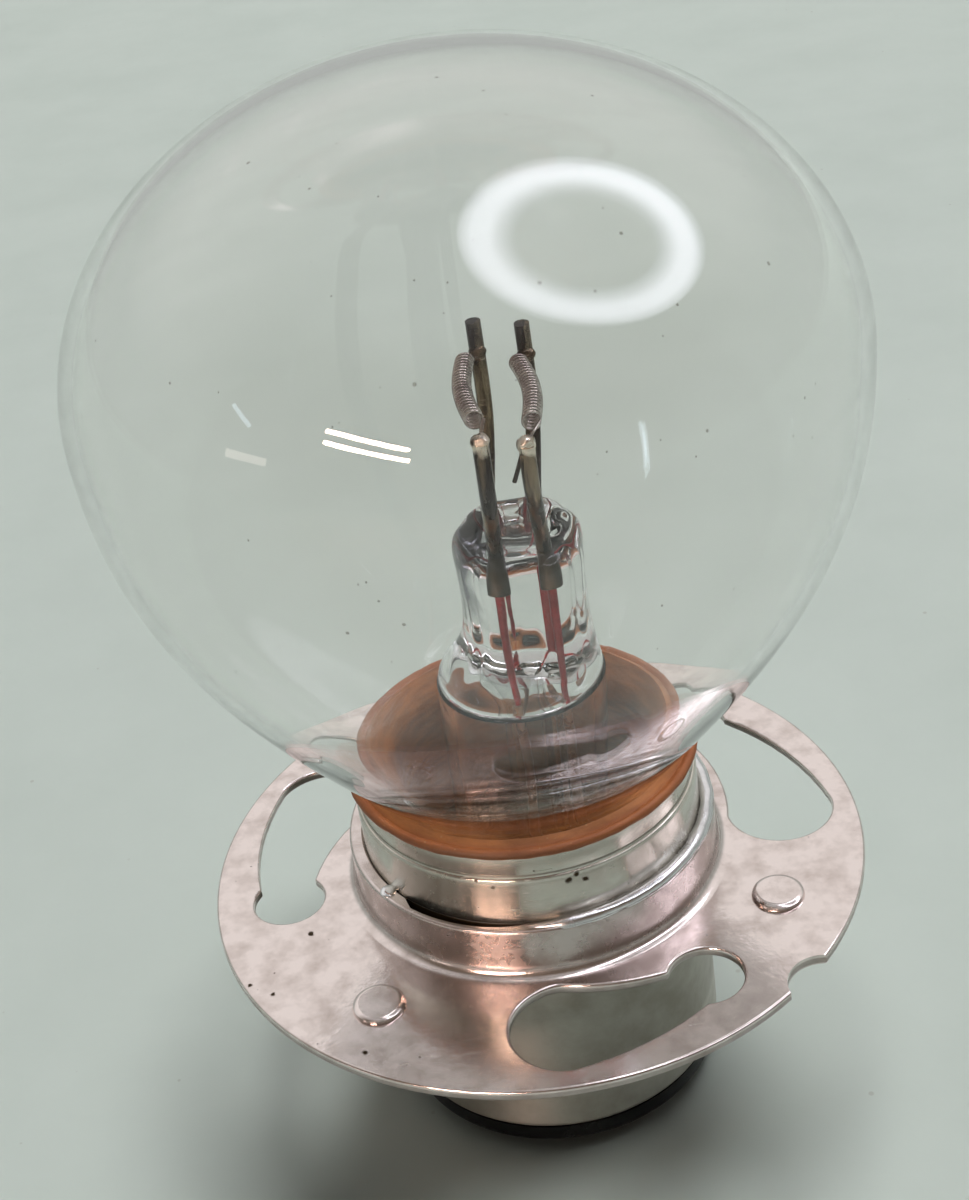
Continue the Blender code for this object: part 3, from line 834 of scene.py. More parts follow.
@dataclass(frozen=True)
class PlatedMetal(Finish):
    """Plated sheet or wire with tarnish, specks, rub lines, single marks, darkened bands (mostly painted
    shade) and painted highlight spots.
    """

    bright: Colour
    tarnish: Colour
    grime_and_shade: Colour = (0.05, 0.035, 0.02)
    rough: Pair = (0.16, 0.34)
    cloud_scale: float = 260.0
    cloud_span: Pair = (0.38, 0.68)
    speck_scale: float = 900.0
    speck_cover: float = 0.08
    speck_share: float = 0.6
    rubs: tuple[Pair, ...] = ((2600.0, 0.7), (1700.0, 2.2))
    rub_rough: float = 0.08
    rub_depth: float = 0.10
    dirt_and_shade_rough: float = 0.3
    grain: float = 0.00002
    grain_scale: float = 3200.0
    grain_detail: float = 3.0
    bump: float = 0.5
    brushed: float = 0.0
    brush_turn: float = 0.25
    dark_bands: tuple[DarkBand, ...] = ()
    stretch: float = 1.0
    painted_highlights: tuple[Spot, ...] = ()
    painted_highlight_colour: Colour = (0.78, 0.70, 0.60)
    painted_highlight_ragged: float = 1500.0
    marks: tuple[Spot, ...] = ()
    mark_ragged: float = 4000.0

    def wire(self, wiring: Wiring, shader: bpy.types.Node, where: Socket) -> None:
        """Tarnish in clouds, grimy specks and marks, darkened bands of mostly painted shade, painted
        highlights and a fine uneven surface.

        Args:
            wiring: The material's tree.
            shader: Its Principled BSDF.
            where: Object coordinates.
        """
        drawn = wiring.stretched(where, self.stretch)
        clouds = Effects.place(wiring, Effect.CLOUDS, drawn, self.cloud_scale, *self.cloud_span)
        specks = Effects.place(wiring, Effect.SPECKS, where, self.speck_scale, self.speck_cover)
        rubs = [Effects.place(wiring, Effect.RUBS, where, *rub) for rub in self.rubs]
        lines = wiring.math("MAXIMUM", *rubs)
        dirt_and_shade = wiring.math("MULTIPLY", specks, self.speck_share)
        for mark in self.marks:
            spot = Effects.place(wiring, Effect.SPOT, where, *mark, self.mark_ragged)
            dirt_and_shade = wiring.math("MAXIMUM", dirt_and_shade, spot)
        # darkened bands, mostly painted shade, join the dark mask
        for band in self.dark_bands:
            dirt_and_shade = wiring.math("MAXIMUM", dirt_and_shade, band.mask(wiring, where))
        plate = wiring.blend(clouds, self.bright, self.tarnish)
        # painted highlights: lighter spots laid over the plate colour
        for patch in self.painted_highlights:
            spot = Effects.place(wiring, Effect.SPOT, where, *patch, self.painted_highlight_ragged)
            plate = wiring.blend(spot, plate, self.painted_highlight_colour)
        wiring.feed(shader.inputs["Base Color"], wiring.blend(dirt_and_shade, plate, self.grime_and_shade))
        gloss = wiring.span(clouds, 0.0, 1.0, *self.rough)
        gloss = wiring.math("ADD", gloss, wiring.math("MULTIPLY", lines, self.rub_rough))
        gloss = wiring.math("ADD", gloss, wiring.math("MULTIPLY", dirt_and_shade, self.dirt_and_shade_rough))
        wiring.feed(shader.inputs["Roughness"], gloss)
        shader.inputs["Metallic"].default_value = 1.0
        shader.inputs["Anisotropic"].default_value = self.brushed
        shader.inputs["Anisotropic Rotation"].default_value = self.brush_turn
        fine = wiring.noise(where, self.grain_scale, self.grain_detail)
        height = wiring.math("SUBTRACT", fine, wiring.math("MULTIPLY", lines, self.rub_depth))
        wiring.bump(shader, height, self.bump, self.grain)


@dataclass(frozen=True)
class LampGlass(Finish):
    """Clear blown or pressed glass with dust on it."""

    passes_light: ClassVar[bool] = True
    clear: Colour
    dust: Colour = (0.36, 0.33, 0.29)
    dust_scale: float = 520.0
    dust_cover: float = 0.075
    wave_scale: float = 90.0
    wave: float = 0.00002
    dark_tint: Colour | None = None
    dark_tint_spot: Spot = ((0.0, 0.0, 0.0), 0.0)
    dark_tint_ragged: float = 500.0
    wave_detail: float = 2.0
    bump: float = 0.5
    bend: float = 1.5

    def wire(self, wiring: Wiring, shader: bpy.types.Node, where: Socket) -> None:
        """Refracting glass with soft waves, dust and a darker tinted patch.

        Args:
            wiring: The material's tree.
            shader: Its Principled BSDF.
            where: Object coordinates.
        """
        specks = Effects.place(wiring, Effect.SPECKS, where, self.dust_scale, self.dust_cover)
        colour = wiring.blend(specks, self.clear, self.dust)
        if self.dark_tint is not None:
            patch = Effects.place(wiring, Effect.SPOT, where, *self.dark_tint_spot, self.dark_tint_ragged)
            colour = wiring.blend(patch, colour, self.dark_tint)
        wiring.feed(shader.inputs["Base Color"], colour)
        shader.inputs["Roughness"].default_value = 0.0
        shader.inputs["IOR"].default_value = self.bend
        shader.inputs["Transmission Weight"].default_value = 1.0
        wiring.bump(shader, wiring.noise(where, self.wave_scale, self.wave_detail), self.bump, self.wave)


@dataclass(frozen=True)
class BakedCement(Finish):
    """Brown basing cement with streaks and pale crumbs."""

    light: Colour
    dark: Colour
    streak_stretch: float = 6.0
    streak_scale: float = 420.0
    streak_span: Pair = (0.35, 0.65)
    roll: Colour = (0.25, 0.055, 0.017)
    roll_share: float = 0.5
    roll_reach: Pair = (0.00880, 0.00905)
    crumb: Colour = (0.50, 0.28, 0.12)
    crumb_scale: float = 2200.0
    crumb_cover: float = 0.22
    crumb_share: float = 0.45
    rough: Pair = (0.42, 0.68)
    grain_scale: float = 5200.0
    grain_detail: float = 4.0
    grain_rough: float = 0.6
    bump: float = 0.6
    grain: float = 0.00006

    def wire(self, wiring: Wiring, shader: bpy.types.Node, where: Socket) -> None:
        """Streaks along the rim, a redder outer roll, crumbs and a grainy surface.

        Args:
            wiring: The material's tree.
            shader: Its Principled BSDF.
            where: Object coordinates.
        """
        flat = wiring.stretched(where, self.streak_stretch)
        streaks = Effects.place(wiring, Effect.CLOUDS, flat, self.streak_scale, *self.streak_span)
        crumbs = Effects.place(wiring, Effect.SPECKS, where, self.crumb_scale, self.crumb_cover)
        colour = wiring.blend(streaks, self.light, self.dark)
        roll = wiring.span(wiring.from_axis(where), *self.roll_reach, 0.0, self.roll_share)
        colour = wiring.blend(roll, colour, self.roll)
        faint = wiring.math("MULTIPLY", crumbs, self.crumb_share)
        wiring.feed(shader.inputs["Base Color"], wiring.blend(faint, colour, self.crumb))
        wiring.feed(shader.inputs["Roughness"], wiring.span(streaks, 0.0, 1.0, *self.rough))
        grains = wiring.noise(where, self.grain_scale, self.grain_detail, self.grain_rough)
        wiring.bump(shader, grains, self.bump, self.grain)


@dataclass(frozen=True)
class BlackGlass(Finish):
    """The insulator's black glass, dull where it is dusty."""

    deep: Colour
    dust: Colour
    polish: float = 0.2
    film_scale: float = 380.0
    film_span: Pair = (0.45, 0.75)
    rough: Pair = (0.10, 0.42)
    ripple_scale: float = 500.0
    ripple_detail: float = 3.0
    bump: float = 0.4
    ripple: float = 0.00004

    def wire(self, wiring: Wiring, shader: bpy.types.Node, where: Socket) -> None:
        """Glossy black with a thin uneven film of dust.

        Args:
            wiring: The material's tree.
            shader: Its Principled BSDF.
            where: Object coordinates.
        """
        film = Effects.place(wiring, Effect.CLOUDS, where, self.film_scale, *self.film_span)
        wiring.feed(shader.inputs["Base Color"], wiring.blend(film, self.deep, self.dust))
        wiring.feed(shader.inputs["Roughness"], wiring.span(film, 0.0, 1.0, *self.rough))
        shader.inputs["Specular IOR Level"].default_value = self.polish
        ripples = wiring.noise(where, self.ripple_scale, self.ripple_detail)
        wiring.bump(shader, ripples, self.bump, self.ripple)


CLEAR_GLASS = LampGlass("clear_glass", (0.976, 0.976, 0.966))
STEM_GLASS = LampGlass(
    "stem_glass",
    (0.95, 0.955, 0.95),
    dust_cover=0.0,
    wave_scale=330.0,
    wave=0.00012,
    # a darker tinted patch at the left of the press
    dark_tint=(0.050, 0.050, 0.068),
    dark_tint_spot=((-0.0021, -0.0006, 0.0345), 0.0036),
)
FLANGE_PLATE = PlatedMetal(
    "plated_flange",
    (0.75, 0.675, 0.65),
    (0.52, 0.45, 0.42),
    rough=(0.15, 0.24),
    cloud_scale=620.0,
    cloud_span=(0.42, 0.74),
    grain=0.000010,
    brushed=0.5,
    dark_bands=(
        # painted shade inside the collar, where the gap shows into it
        DarkBand(0.0149, 0.0172, 0.0099, 1.0),
        # darker on the sheet's cut edges
        DarkBand(0.01384, 0.01424, 0.0300, 0.45),
        # darker over the collar and its bend
        DarkBand(0.0146, 0.0175, 0.0108, 0.32, 0.0003),
    ),
    marks=(
        ((-0.01271, -0.00424, 0.0144), 0.00022),
        ((-0.01474, -0.00844, 0.0144), 0.00016),
        ((-0.01004, -0.01365, 0.0144), 0.00020),
        ((-0.01597, -0.00750, 0.0144), 0.00018),
    ),
)
SHELL_PLATE = PlatedMetal(
    "plated_shell",
    (0.62, 0.60, 0.54),
    (0.43, 0.41, 0.355),
    rough=(0.20, 0.28),
    grain=0.000006,
    brushed=0.85,
    dark_bands=(
        # painted shade on the shell inside the collar, seen through the gap
        DarkBand(0.0142, 0.0173, 0.0100, 1.0),
        # painted shade along the crease under the band
        DarkBand(0.0202, 0.02036, 0.0100, 0.55),
        # painted shade on the shell under the flange
        DarkBand(0.0042, 0.0144, 0.0100, 0.68, 0.0012),
        # weaker painted shade near the shell's foot
        DarkBand(0.0010, 0.0060, 0.0100, 0.30, 0.0008),
    ),
    marks=(
        ((0.00133, -0.00920, 0.01970), 0.00024),
        ((0.00176, -0.00912, 0.01990), 0.00020),
        ((0.00219, -0.00903, 0.01950), 0.00024),
        ((-0.00252, -0.00894, 0.01970), 0.00014),
        ((-0.00334, -0.00867, 0.02010), 0.00018),
    ),
)
CEMENT = BakedCement("cement", (0.50, 0.175, 0.038), (0.31, 0.108, 0.026))
INSULATOR_GLASS = BlackGlass("black_glass", (0.004, 0.004, 0.005), (0.014, 0.013, 0.012))
BRASS = PlatedMetal(
    "brass",
    (0.72, 0.52, 0.26),
    (0.40, 0.27, 0.12),
    rough=(0.25, 0.5),
    speck_scale=2200.0,
)
SOLDER = PlatedMetal(
    "solder",
    (0.74, 0.74, 0.75),
    (0.52, 0.52, 0.53),
    rough=(0.12, 0.35),
    speck_scale=2500.0,
)
NICKEL = PlatedMetal(
    "nickel",
    (0.28, 0.215, 0.145),
    (0.040, 0.033, 0.030),
    rough=(0.12, 0.28),
    cloud_scale=1500.0,
    cloud_span=(0.35, 0.53),
    stretch=0.10,
    # darker where the posts sit in the press
    dark_bands=(DarkBand(0.0325, 0.0351, 0.0100, 0.7),),
    # painted highlights at the tops of the front posts
    painted_highlights=(((0.0001, -0.0041, 0.0423), 0.0007), ((0.0022, -0.0041, 0.0418), 0.0007)),
    speck_scale=3000.0,
)
TUNGSTEN = PlatedMetal(
    "tungsten",
    (0.60, 0.56, 0.53),
    (0.26, 0.22, 0.21),
    rough=(0.10, 0.22),
    cloud_scale=900.0,
)
SEAL_WIRE = PlatedMetal(
    "seal_wire",
    (0.34, 0.02, 0.026),
    (0.20, 0.012, 0.016),
    rough=(0.3, 0.5),
    cloud_scale=900.0,
)
COPPER = PlatedMetal(
    "copper",
    (0.42, 0.24, 0.15),
    (0.14, 0.09, 0.07),
    rough=(0.25, 0.45),
    cloud_scale=900.0,
)


# Shared levels of the bulb
@dataclass(frozen=True)
class Levels:
    """Heights above the surface that the bulb stands on."""

    plate_bottom: float = 0.0008
    plate_top: float = 0.0013
    insulator_bottom: float = 0.0010
    shell_bottom: float = 0.0021
    plug_top: float = 0.0051
    neck_bottom: float = 0.0131
    flange: float = 0.0144
    collar_top: float = 0.0174
    shell_top: float = 0.0216
    shoulder: float = 0.0223
    press_bottom: float = 0.0264
    press_top: float = 0.0350
    light: float = 0.0431
    widest: float = 0.0446


LEVELS = Levels()


@dataclass
class GlassBulb:
    """The clear envelope and the cement that holds its neck in the shell."""

    radius: float = 0.0192
    wall: float = 0.0007
    dome_rise: float = 0.0147
    shoulder_radius: float = 0.0086
    shoulder_slope: float = 38.0
    bulge_pull: float = 0.0092
    shoulder_pull: float = 0.0100
    neck_radius: float = 0.0077
    neck_curve: float = 0.0017
    cement_outer: float = 0.00865
    cement_bond: float = 0.0001
    bead_radius: float = 0.0095
    bead_round: float = 0.00026
    cement_lump: float = 0.0011
    cement_lump_depth: float = 0.00012
    dome_steps: int = 26
    body_steps: int = 30
    neck_steps: int = 10
    turns: int = 160

    def neck(self, inset: float) -> Outline:
        """The glass from its shoulder down to the end of the neck.

        Args:
            inset: How far the line lies inside the outer surface.

        Returns:
            Radius and level of each point.
        """
        slope = radians(self.shoulder_slope)
        shoulder = (self.shoulder_radius - inset * cos(slope), LEVELS.shoulder + inset * sin(slope))
        foot = (self.neck_radius - inset, LEVELS.shoulder - self.neck_curve)
        pull = self.neck_curve / 3
        into = (shoulder[0] - pull * sin(slope), shoulder[1] - pull * cos(slope))
        curve = Draw.bezier([shoulder, into, (foot[0], foot[1] + pull), foot], self.neck_steps)
        return curve + [(foot[0], LEVELS.neck_bottom)]

    def outline(self, inset: float) -> Outline:
        """The glass from the top of its dome down to the end of the neck.

        Args:
            inset: How far the line lies inside the outer surface.

        Returns:
            Radius and level of each point.
        """
        reach, rise = self.radius - inset, self.dome_rise - inset
        turns = [pi / 2 * (1 - step / self.dome_steps) for step in range(self.dome_steps + 1)]
        dome = [(reach * cos(turn), LEVELS.widest + rise * sin(turn)) for turn in turns]
        dome[0] = (0.0, LEVELS.widest + rise)
        neck = self.neck(inset)
        slope = radians(self.shoulder_slope)
        pull = (neck[0][0] + self.shoulder_pull * sin(slope), neck[0][1] + self.shoulder_pull * cos(slope))
        corners = [(reach, LEVELS.widest), (reach, LEVELS.widest - self.bulge_pull), pull, neck[0]]
        return dome + Draw.bezier(corners, self.body_steps)[1:-1] + neck

    def build(self) -> None:
        """Blow the envelope and lay the cement with its bead."""
        outline = self.outline(0.0) + self.outline(self.wall)[::-1]
        glass = Bench.turned("glass_envelope_fine", outline, self.turns)
        Bench.settle(glass, "glass_envelope", CLEAR_GLASS, crease=SOFT_CREASE)

        inner = self.neck(self.cement_bond)
        seat = LEVELS.shell_top + HAIR
        bead = (self.bead_radius - self.bead_round, seat + self.bead_round)
        outline = inner[::-1]
        hollow = (bead[0] - self.bead_round, bead[1] + self.bead_round / 2)
        outline += [((inner[0][0] + hollow[0]) / 2, (inner[0][1] + hollow[1]) / 2 + HAIR), hollow]
        outline += Draw.arc(bead, self.bead_round, 130, -90, 10)
        outline += [(self.cement_outer, seat), (self.cement_outer, LEVELS.neck_bottom)]
        cement = Bench.turned("basing_cement_fine", outline, self.turns)
        Bench.lumps(cement, self.cement_lump, self.cement_lump_depth)
        Bench.settle(cement, "basing_cement", CEMENT)


@dataclass
class Stem:
    """The stem's flare, the press that seals the leads and the exhaust tube."""

    radius: float = 0.0045
    wall: float = 0.0007
    shift: float = 0.00055
    rim: float = 0.0077
    flare_bottom: float = 0.0122
    flare_length: float = 0.0052
    press_shift: float = 0.0013
    press_waist: float = 0.00335
    press_head: float = 0.0035
    press_depth: float = 0.0005
    foot_height: float = 0.0027
    head_height: float = 0.0014
    exhaust_radius: float = 0.0013
    exhaust_wall: float = 0.0004
    exhaust_bottom: float = 0.0083
    cavity_height: float = 0.0019
    cavity_turns: tuple[float, ...] = (80.0, 60.0, 40.0, 20.0, 0.0)
    exhaust_rise: float = 0.9
    pinch_low: float = 0.5
    pinch_reach: float = 0.9
    lobes: tuple[Place, ...] = (
        (-90.0, 0.93, 14.0),
        (-63.0, 1.02, 14.0),
        (-117.0, 1.02, 14.0),
        (-40.0, 0.955, 6.0),
        (-140.0, 0.95, 6.0),
        (-10.0, 0.95, 14.0),
        (-170.0, 0.96, 14.0),
        (90.0, 0.94, 14.0),
        (63.0, 1.03, 14.0),
        (117.0, 1.03, 14.0),
        (150.0, 0.96, 6.0),
        (30.0, 0.96, 6.0),
    )
    sides: int = 72

    def build(self) -> None:
        """Draw the flare, press the head and hang the exhaust tube under it."""
        self.build_flare()
        self.build_press()
        self.build_exhaust()

    def build_flare(self) -> None:
        """The tube that widens to the neck, set a little off the axis at its top."""
        bottom, top = self.flare_bottom, LEVELS.press_bottom - HAIR
        corners = [
            (self.rim, bottom),
            (self.rim - self.flare_length / 3, bottom + self.wall),
            (self.radius, bottom + self.flare_length / 2),
            (self.radius, bottom + self.flare_length),
        ]
        outer = [(self.rim, bottom - self.wall)] + Draw.bezier(corners, 18) + [(self.radius, top)]
        drop = self.wall / self.rim
        inner = [(radius - self.wall, level - drop * (radius - self.radius)) for radius, level in outer]
        inner[-1] = (self.radius - self.wall, top)
        rings = []
        for radius, level in outer + inner[::-1]:
            lift = max(0.0, level - bottom) / (top - bottom)
            rings.append(Ring(self.shift * lift, level, radius, radius))
        flare = Bench.stack("stem_flare_fine", rings, self.sides, Ends.LOOPED)
        Bench.settle(flare, "stem_flare", STEM_GLASS, crease=SOFT_CREASE)

    def build_press(self) -> None:
        """The pressed block, rounded at its head and dished between the posts.

        Each section has its level, the X of its middle, its reach and how much deeper it is along Y.
        """
        bottom, top = LEVELS.press_bottom, LEVELS.press_top
        foot, waist, head = self.radius, self.press_waist, self.press_head
        half_way = (self.shift + self.press_shift) / 2
        bore = foot - self.wall
        sections = []
        for turn in map(radians, self.cavity_turns):
            sections.append((bottom + self.cavity_height * sin(turn), self.shift, bore * cos(turn), 0.0))
        sections += [
            (bottom, self.shift, bore, 0.0),
            (bottom, self.shift, foot, 0.0),
            (bottom + self.foot_height * 0.25, self.shift, foot * 0.97, 0.1),
            (bottom + self.foot_height * 0.6, half_way, (foot + waist) / 2, 0.5),
            (bottom + self.foot_height, self.press_shift, waist, 1.0),
            (top - 2 * self.head_height, self.press_shift, waist, 1.0),
            (top - self.head_height, self.press_shift, head, 1.0),
            (top - 0.35 * self.head_height, self.press_shift, head * 0.97, 1.0),
            (top, self.press_shift, head * 0.83, 1.0),
            (top - 0.05 * self.head_height, self.press_shift, head * 0.60, 0.8),
            (top - 0.30 * self.head_height, self.press_shift, head * 0.35, 0.5),
            (top - 0.35 * self.head_height, self.press_shift, head * 0.12, 0.2),
        ]
        rings = []
        for level, x, wide, extra in sections:
            rings.append(Ring(x, level, wide, wide + self.press_depth * extra))
        press = Bench.stack("stem_press_fine", rings, self.sides // 2, Ends.POLE)
        for turn, share, width in self.lobes:
            self.pinch(press, turn, share, width)
        Bench.modifier(press, "SUBSURF", levels=2, render_levels=2)
        Bench.settle(press, "stem_press", STEM_GLASS, crease=SOFT_CREASE)

    def pinch(self, press: Piece, turn: float, share: float, width: float) -> None:
        """Draw a column of the press out or in, as the tongs leave it round a lead.

        Args:
            press: The press.
            turn: The column's direction in degrees.
            share: How far the column lies out, as a share of what it had.
            width: Half of the angle that it takes, in degrees.
        """
        middle = Vector((self.press_shift, 0.0, 0.0))
        low = LEVELS.press_bottom + self.foot_height * self.pinch_low
        way = Vector((*Draw.polar(1.0, turn), 0.0))

        def in_column(place: Vector) -> bool:
            """Whether a vertex of the outer wall lies in the column.

            Args:
                place: The vertex's place.

            Returns:
                True for a vertex that is drawn.
            """
            away = Vector((place.x, place.y, 0.0)) - middle
            on_wall = place.z > low and away.length > self.press_waist * self.pinch_reach
            return on_wall and away.normalized().dot(way) > cos(radians(width))

        Bench.pick(press, in_column)
        bpy.ops.transform.resize(value=(share, share, 1.0), center_override=middle)
        bpy.ops.object.mode_set(mode="OBJECT")

    def build_exhaust(self) -> None:
        """The small tube that the bulb was pumped through, melted shut at its lower end."""
        outer, inner = self.exhaust_radius, self.exhaust_radius - self.exhaust_wall
        bottom = self.exhaust_bottom
        top = LEVELS.press_bottom + self.exhaust_rise * self.cavity_height
        outline = Draw.arc((0.0, bottom + outer), outer, -90, 0, 10)
        outline[0] = (0.0, bottom)
        outline += [(outer, top), (inner, top)]
        end = Draw.arc((0.0, bottom + self.exhaust_wall + inner), inner, 0, -90, 10)
        end[-1] = (0.0, bottom + self.exhaust_wall)
        tube = Bench.turned("exhaust_tube_fine", outline + end, self.sides // 2)
        bpy.ops.transform.translate(value=(self.shift, 0.0, 0.0))
        bpy.ops.object.transform_apply(location=True, rotation=False, scale=False)
        Bench.settle(tube, "exhaust_tube", STEM_GLASS, crease=SOFT_CREASE)


@dataclass(frozen=True)
class Lead:
    """One of the four leads: which coil it carries, which end of it, and how far its post leans."""

    coil: str
    end: str
    lean: float

    @property
    def name(self) -> str:
        """The lead's name, as its nodes have it."""
        return f"{self.coil}_{self.end}"


@dataclass
class Mount:
    """The two filaments with their posts, seal wires and the wires to the cap."""

    dip_offset: float = 0.0026
    dip_drop: float = 0.0005
    lead_reach: float = 0.0024
    lead_inset: float = 0.0001
    post_radius: float = 0.0004
    post_foot: float = 0.0332
    post_reach: float = 0.0041
    post_upright: float = 0.0028
    front_drop: float = 0.0008
    back_rise: float = 0.0017
    seal_radius: float = 0.00012
    wire_radius: float = 0.00025
    coil_length: float = 0.0066
    coil_turns: int = 22
    coil_radius: float = 0.00042
    coil_wire: float = 0.000075
    coil_bow: float = 0.00035
    points_a_turn: int = 18
    weld_reach: Place = (0.00046, 0.00044, 0.00042)
    weld_lump: float = 0.00022
    weld_inset: float = 0.3
    leg_inset: float = 0.5
    seal_lump: float = 0.0006
    seal_lump_depth: float = 0.00005
    seal_steps: int = 8
    post_steps: int = 8
    tail_gain: float = 1.5
    tail: tuple[Place, ...] = (
        (-0.0003, -0.0003, -0.0003),
        (-0.0005, -0.0004, -0.0008),
        (-0.0008, -0.0004, -0.0016),
    )
    contact_half: float = 0.0044
    shell_bore: float = 0.00845
    under_flare: float = 0.0115
    wire_drop: float = 0.0012
    ground_turn: float = 20.0
    leads: tuple[Lead, ...] = (
        Lead("main", "front", 0.00010),
        Lead("main", "back", 0.00068),
        Lead("dip", "front", -0.00038),
        Lead("dip", "back", 0.00045),
    )

    def coil_x(self, coil: str) -> float:
        """The X of a coil's axis."""
        return self.dip_offset if coil == "dip" else 0.0

    def coil_z(self, coil: str) -> float:
        """The level of a coil's axis."""
        return LEVELS.light - (self.dip_drop if coil == "dip" else 0.0)

    @staticmethod
    def side(coil: str) -> int:
        """The side that a coil bows to and that its contact lies on."""
        return 1 if coil == "dip" else -1

    def seat(self, lead: Lead) -> Pair:
        """The X and Y of a lead where it goes through the press."""
        way = -1 if lead.end == "front" else 1
        return self.coil_x(lead.coil) - self.side(lead.coil) * self.lead_inset, way * self.lead_reach

    def tip(self, lead: Lead) -> Vector:
        """The upper end of a lead's post.

        Args:
            lead: Which lead.

        Returns:
            The end's place.
        """
        way = -1 if lead.end == "front" else 1
        rise = -self.front_drop if lead.end == "front" else self.back_rise
        x = self.coil_x(lead.coil) + lead.lean
        return Vector((x, way * self.post_reach, self.coil_z(lead.coil) + rise))

    def build(self) -> None:
        """Set the posts in the press, hang the coils and lead the wires to the cap."""
        for lead in self.leads:
            self.build_post(lead)
            self.build_seal(lead)
        for coil in ("main", "dip"):
            self.build_coil(coil)
            self.build_wires(coil)

    def build_post(self, lead: Lead) -> None:
        """One post, with the weld that holds the coil's leg.

        Args:
            lead: The lead that it belongs to.
        """
        x, y = self.seat(lead)
        tip = self.tip(lead)
        knee = LEVELS.light - self.front_drop - self.post_upright
        route = [(x, y, self.post_foot), (x, y, LEVELS.press_top), (tip.x, tip.y, knee), tuple(tip)]
        line = Draw.route(route, self.post_steps)
        post = Bench.tube(f"{lead.name}_post_fine", line, self.post_radius)
        inward = -1 if lead.end == "back" else 1
        level = tip.z if lead.end == "front" else self.coil_z(lead.coil)
        place = (tip.x, tip.y + inward * self.post_radius * self.weld_inset, level)
        extras = [Bench.blob(f"{lead.name}_weld", place, self.weld_reach, self.weld_lump)]
        if lead.name == "dip_front":
            tail = [tuple(tip + Vector(point)) for point in self.tail]
            extras.append(Bench.tube("dip_front_tail", Draw.route(tail), self.coil_wire * self.tail_gain))
        for extra in extras:
            Bench.shape(post, extra, Cut.ONTO)
        Bench.settle(post, f"{lead.name}_post", NICKEL)

    def build_seal(self, lead: Lead) -> None:
        """The red wire that the press is sealed on.

        Args:
            lead: The lead that it belongs to.
        """
        x, y = self.seat(lead)
        low, high = LEVELS.press_bottom, self.post_foot - HAIR
        count = self.seal_steps
        line = [(x, y, low + (high - low) * step / count) for step in range(count + 1)]
        wire = Bench.tube(f"{lead.name}_seal_wire_fine", line, self.seal_radius)
        Bench.lumps(wire, self.seal_lump, self.seal_lump_depth)
        Bench.settle(wire, f"{lead.name}_seal_wire", SEAL_WIRE)

    def build_coil(self, coil: str) -> None:
        """One filament with its two legs, wound as a single wire from the back post to the front one.

        Args:
            coil: Which coil.
        """
        bow = self.side(coil) * self.coil_bow
        count = self.coil_turns * self.points_a_turn
        front, back = (self.tip(lead) for lead in self.leads if lead.coil == coil)
        line = [(back.x, back.y - self.post_radius, self.coil_z(coil))]
        for step in range(count + 1):
            share = step / count
            turn = 2 * pi * self.coil_turns * share
            x = self.coil_x(coil) + bow * sin(pi * share) + self.coil_radius * cos(turn)
            y = self.coil_length * (0.5 - share)
            line.append((x, y, self.coil_z(coil) + self.coil_radius * sin(turn)))
        line.append((front.x, front.y + self.post_radius * self.leg_inset, front.z + HAIR))
        wire = Bench.tube(f"{coil}_filament_fine", line, self.coil_wire, resolution=2)
        Bench.settle(wire, f"{coil}_filament", TUNGSTEN, crease=SOFT_CREASE)

    def build_wires(self, coil: str) -> None:
        """The wire to a coil's contact and the one to the shell.

        Args:
            coil: Which coil.
        """
        front, back = (lead for lead in self.leads if lead.coil == coil)
        top = LEVELS.press_bottom - HAIR
        under = self.under_flare
        half_way = (top + under) / 2
        contact = self.side(coil) * self.contact_half
        x, y = self.seat(front)
        route = [(x, y, top), (x, y, half_way), (contact / 2, y, under)]
        route += [(contact, y / 2, LEVELS.plug_top + 2 * self.wire_drop)]
        route += [(contact, 0.0, LEVELS.plug_top + self.wire_drop / 2), (contact, 0.0, LEVELS.plate_bottom)]
        wire = Bench.tube(f"{coil}_contact_lead_fine", Draw.route(route), self.wire_radius)
        Bench.settle(wire, f"{coil}_contact_lead", COPPER)

        x, y = self.seat(back)
        wall = Draw.polar(self.shell_bore, 90 - self.side(coil) * self.ground_turn)
        route = [(x, y, top), (x, y, half_way), (x, y, under)]
        route += [((x + wall[0]) / 2, (y + wall[1]) / 2, under - self.wire_drop)]
        route += [(*wall, under - 2 * self.wire_drop)]
        wire = Bench.tube(f"{coil}_ground_lead_fine", Draw.route(route), self.wire_radius)
        Bench.settle(wire, f"{coil}_ground_lead", COPPER)


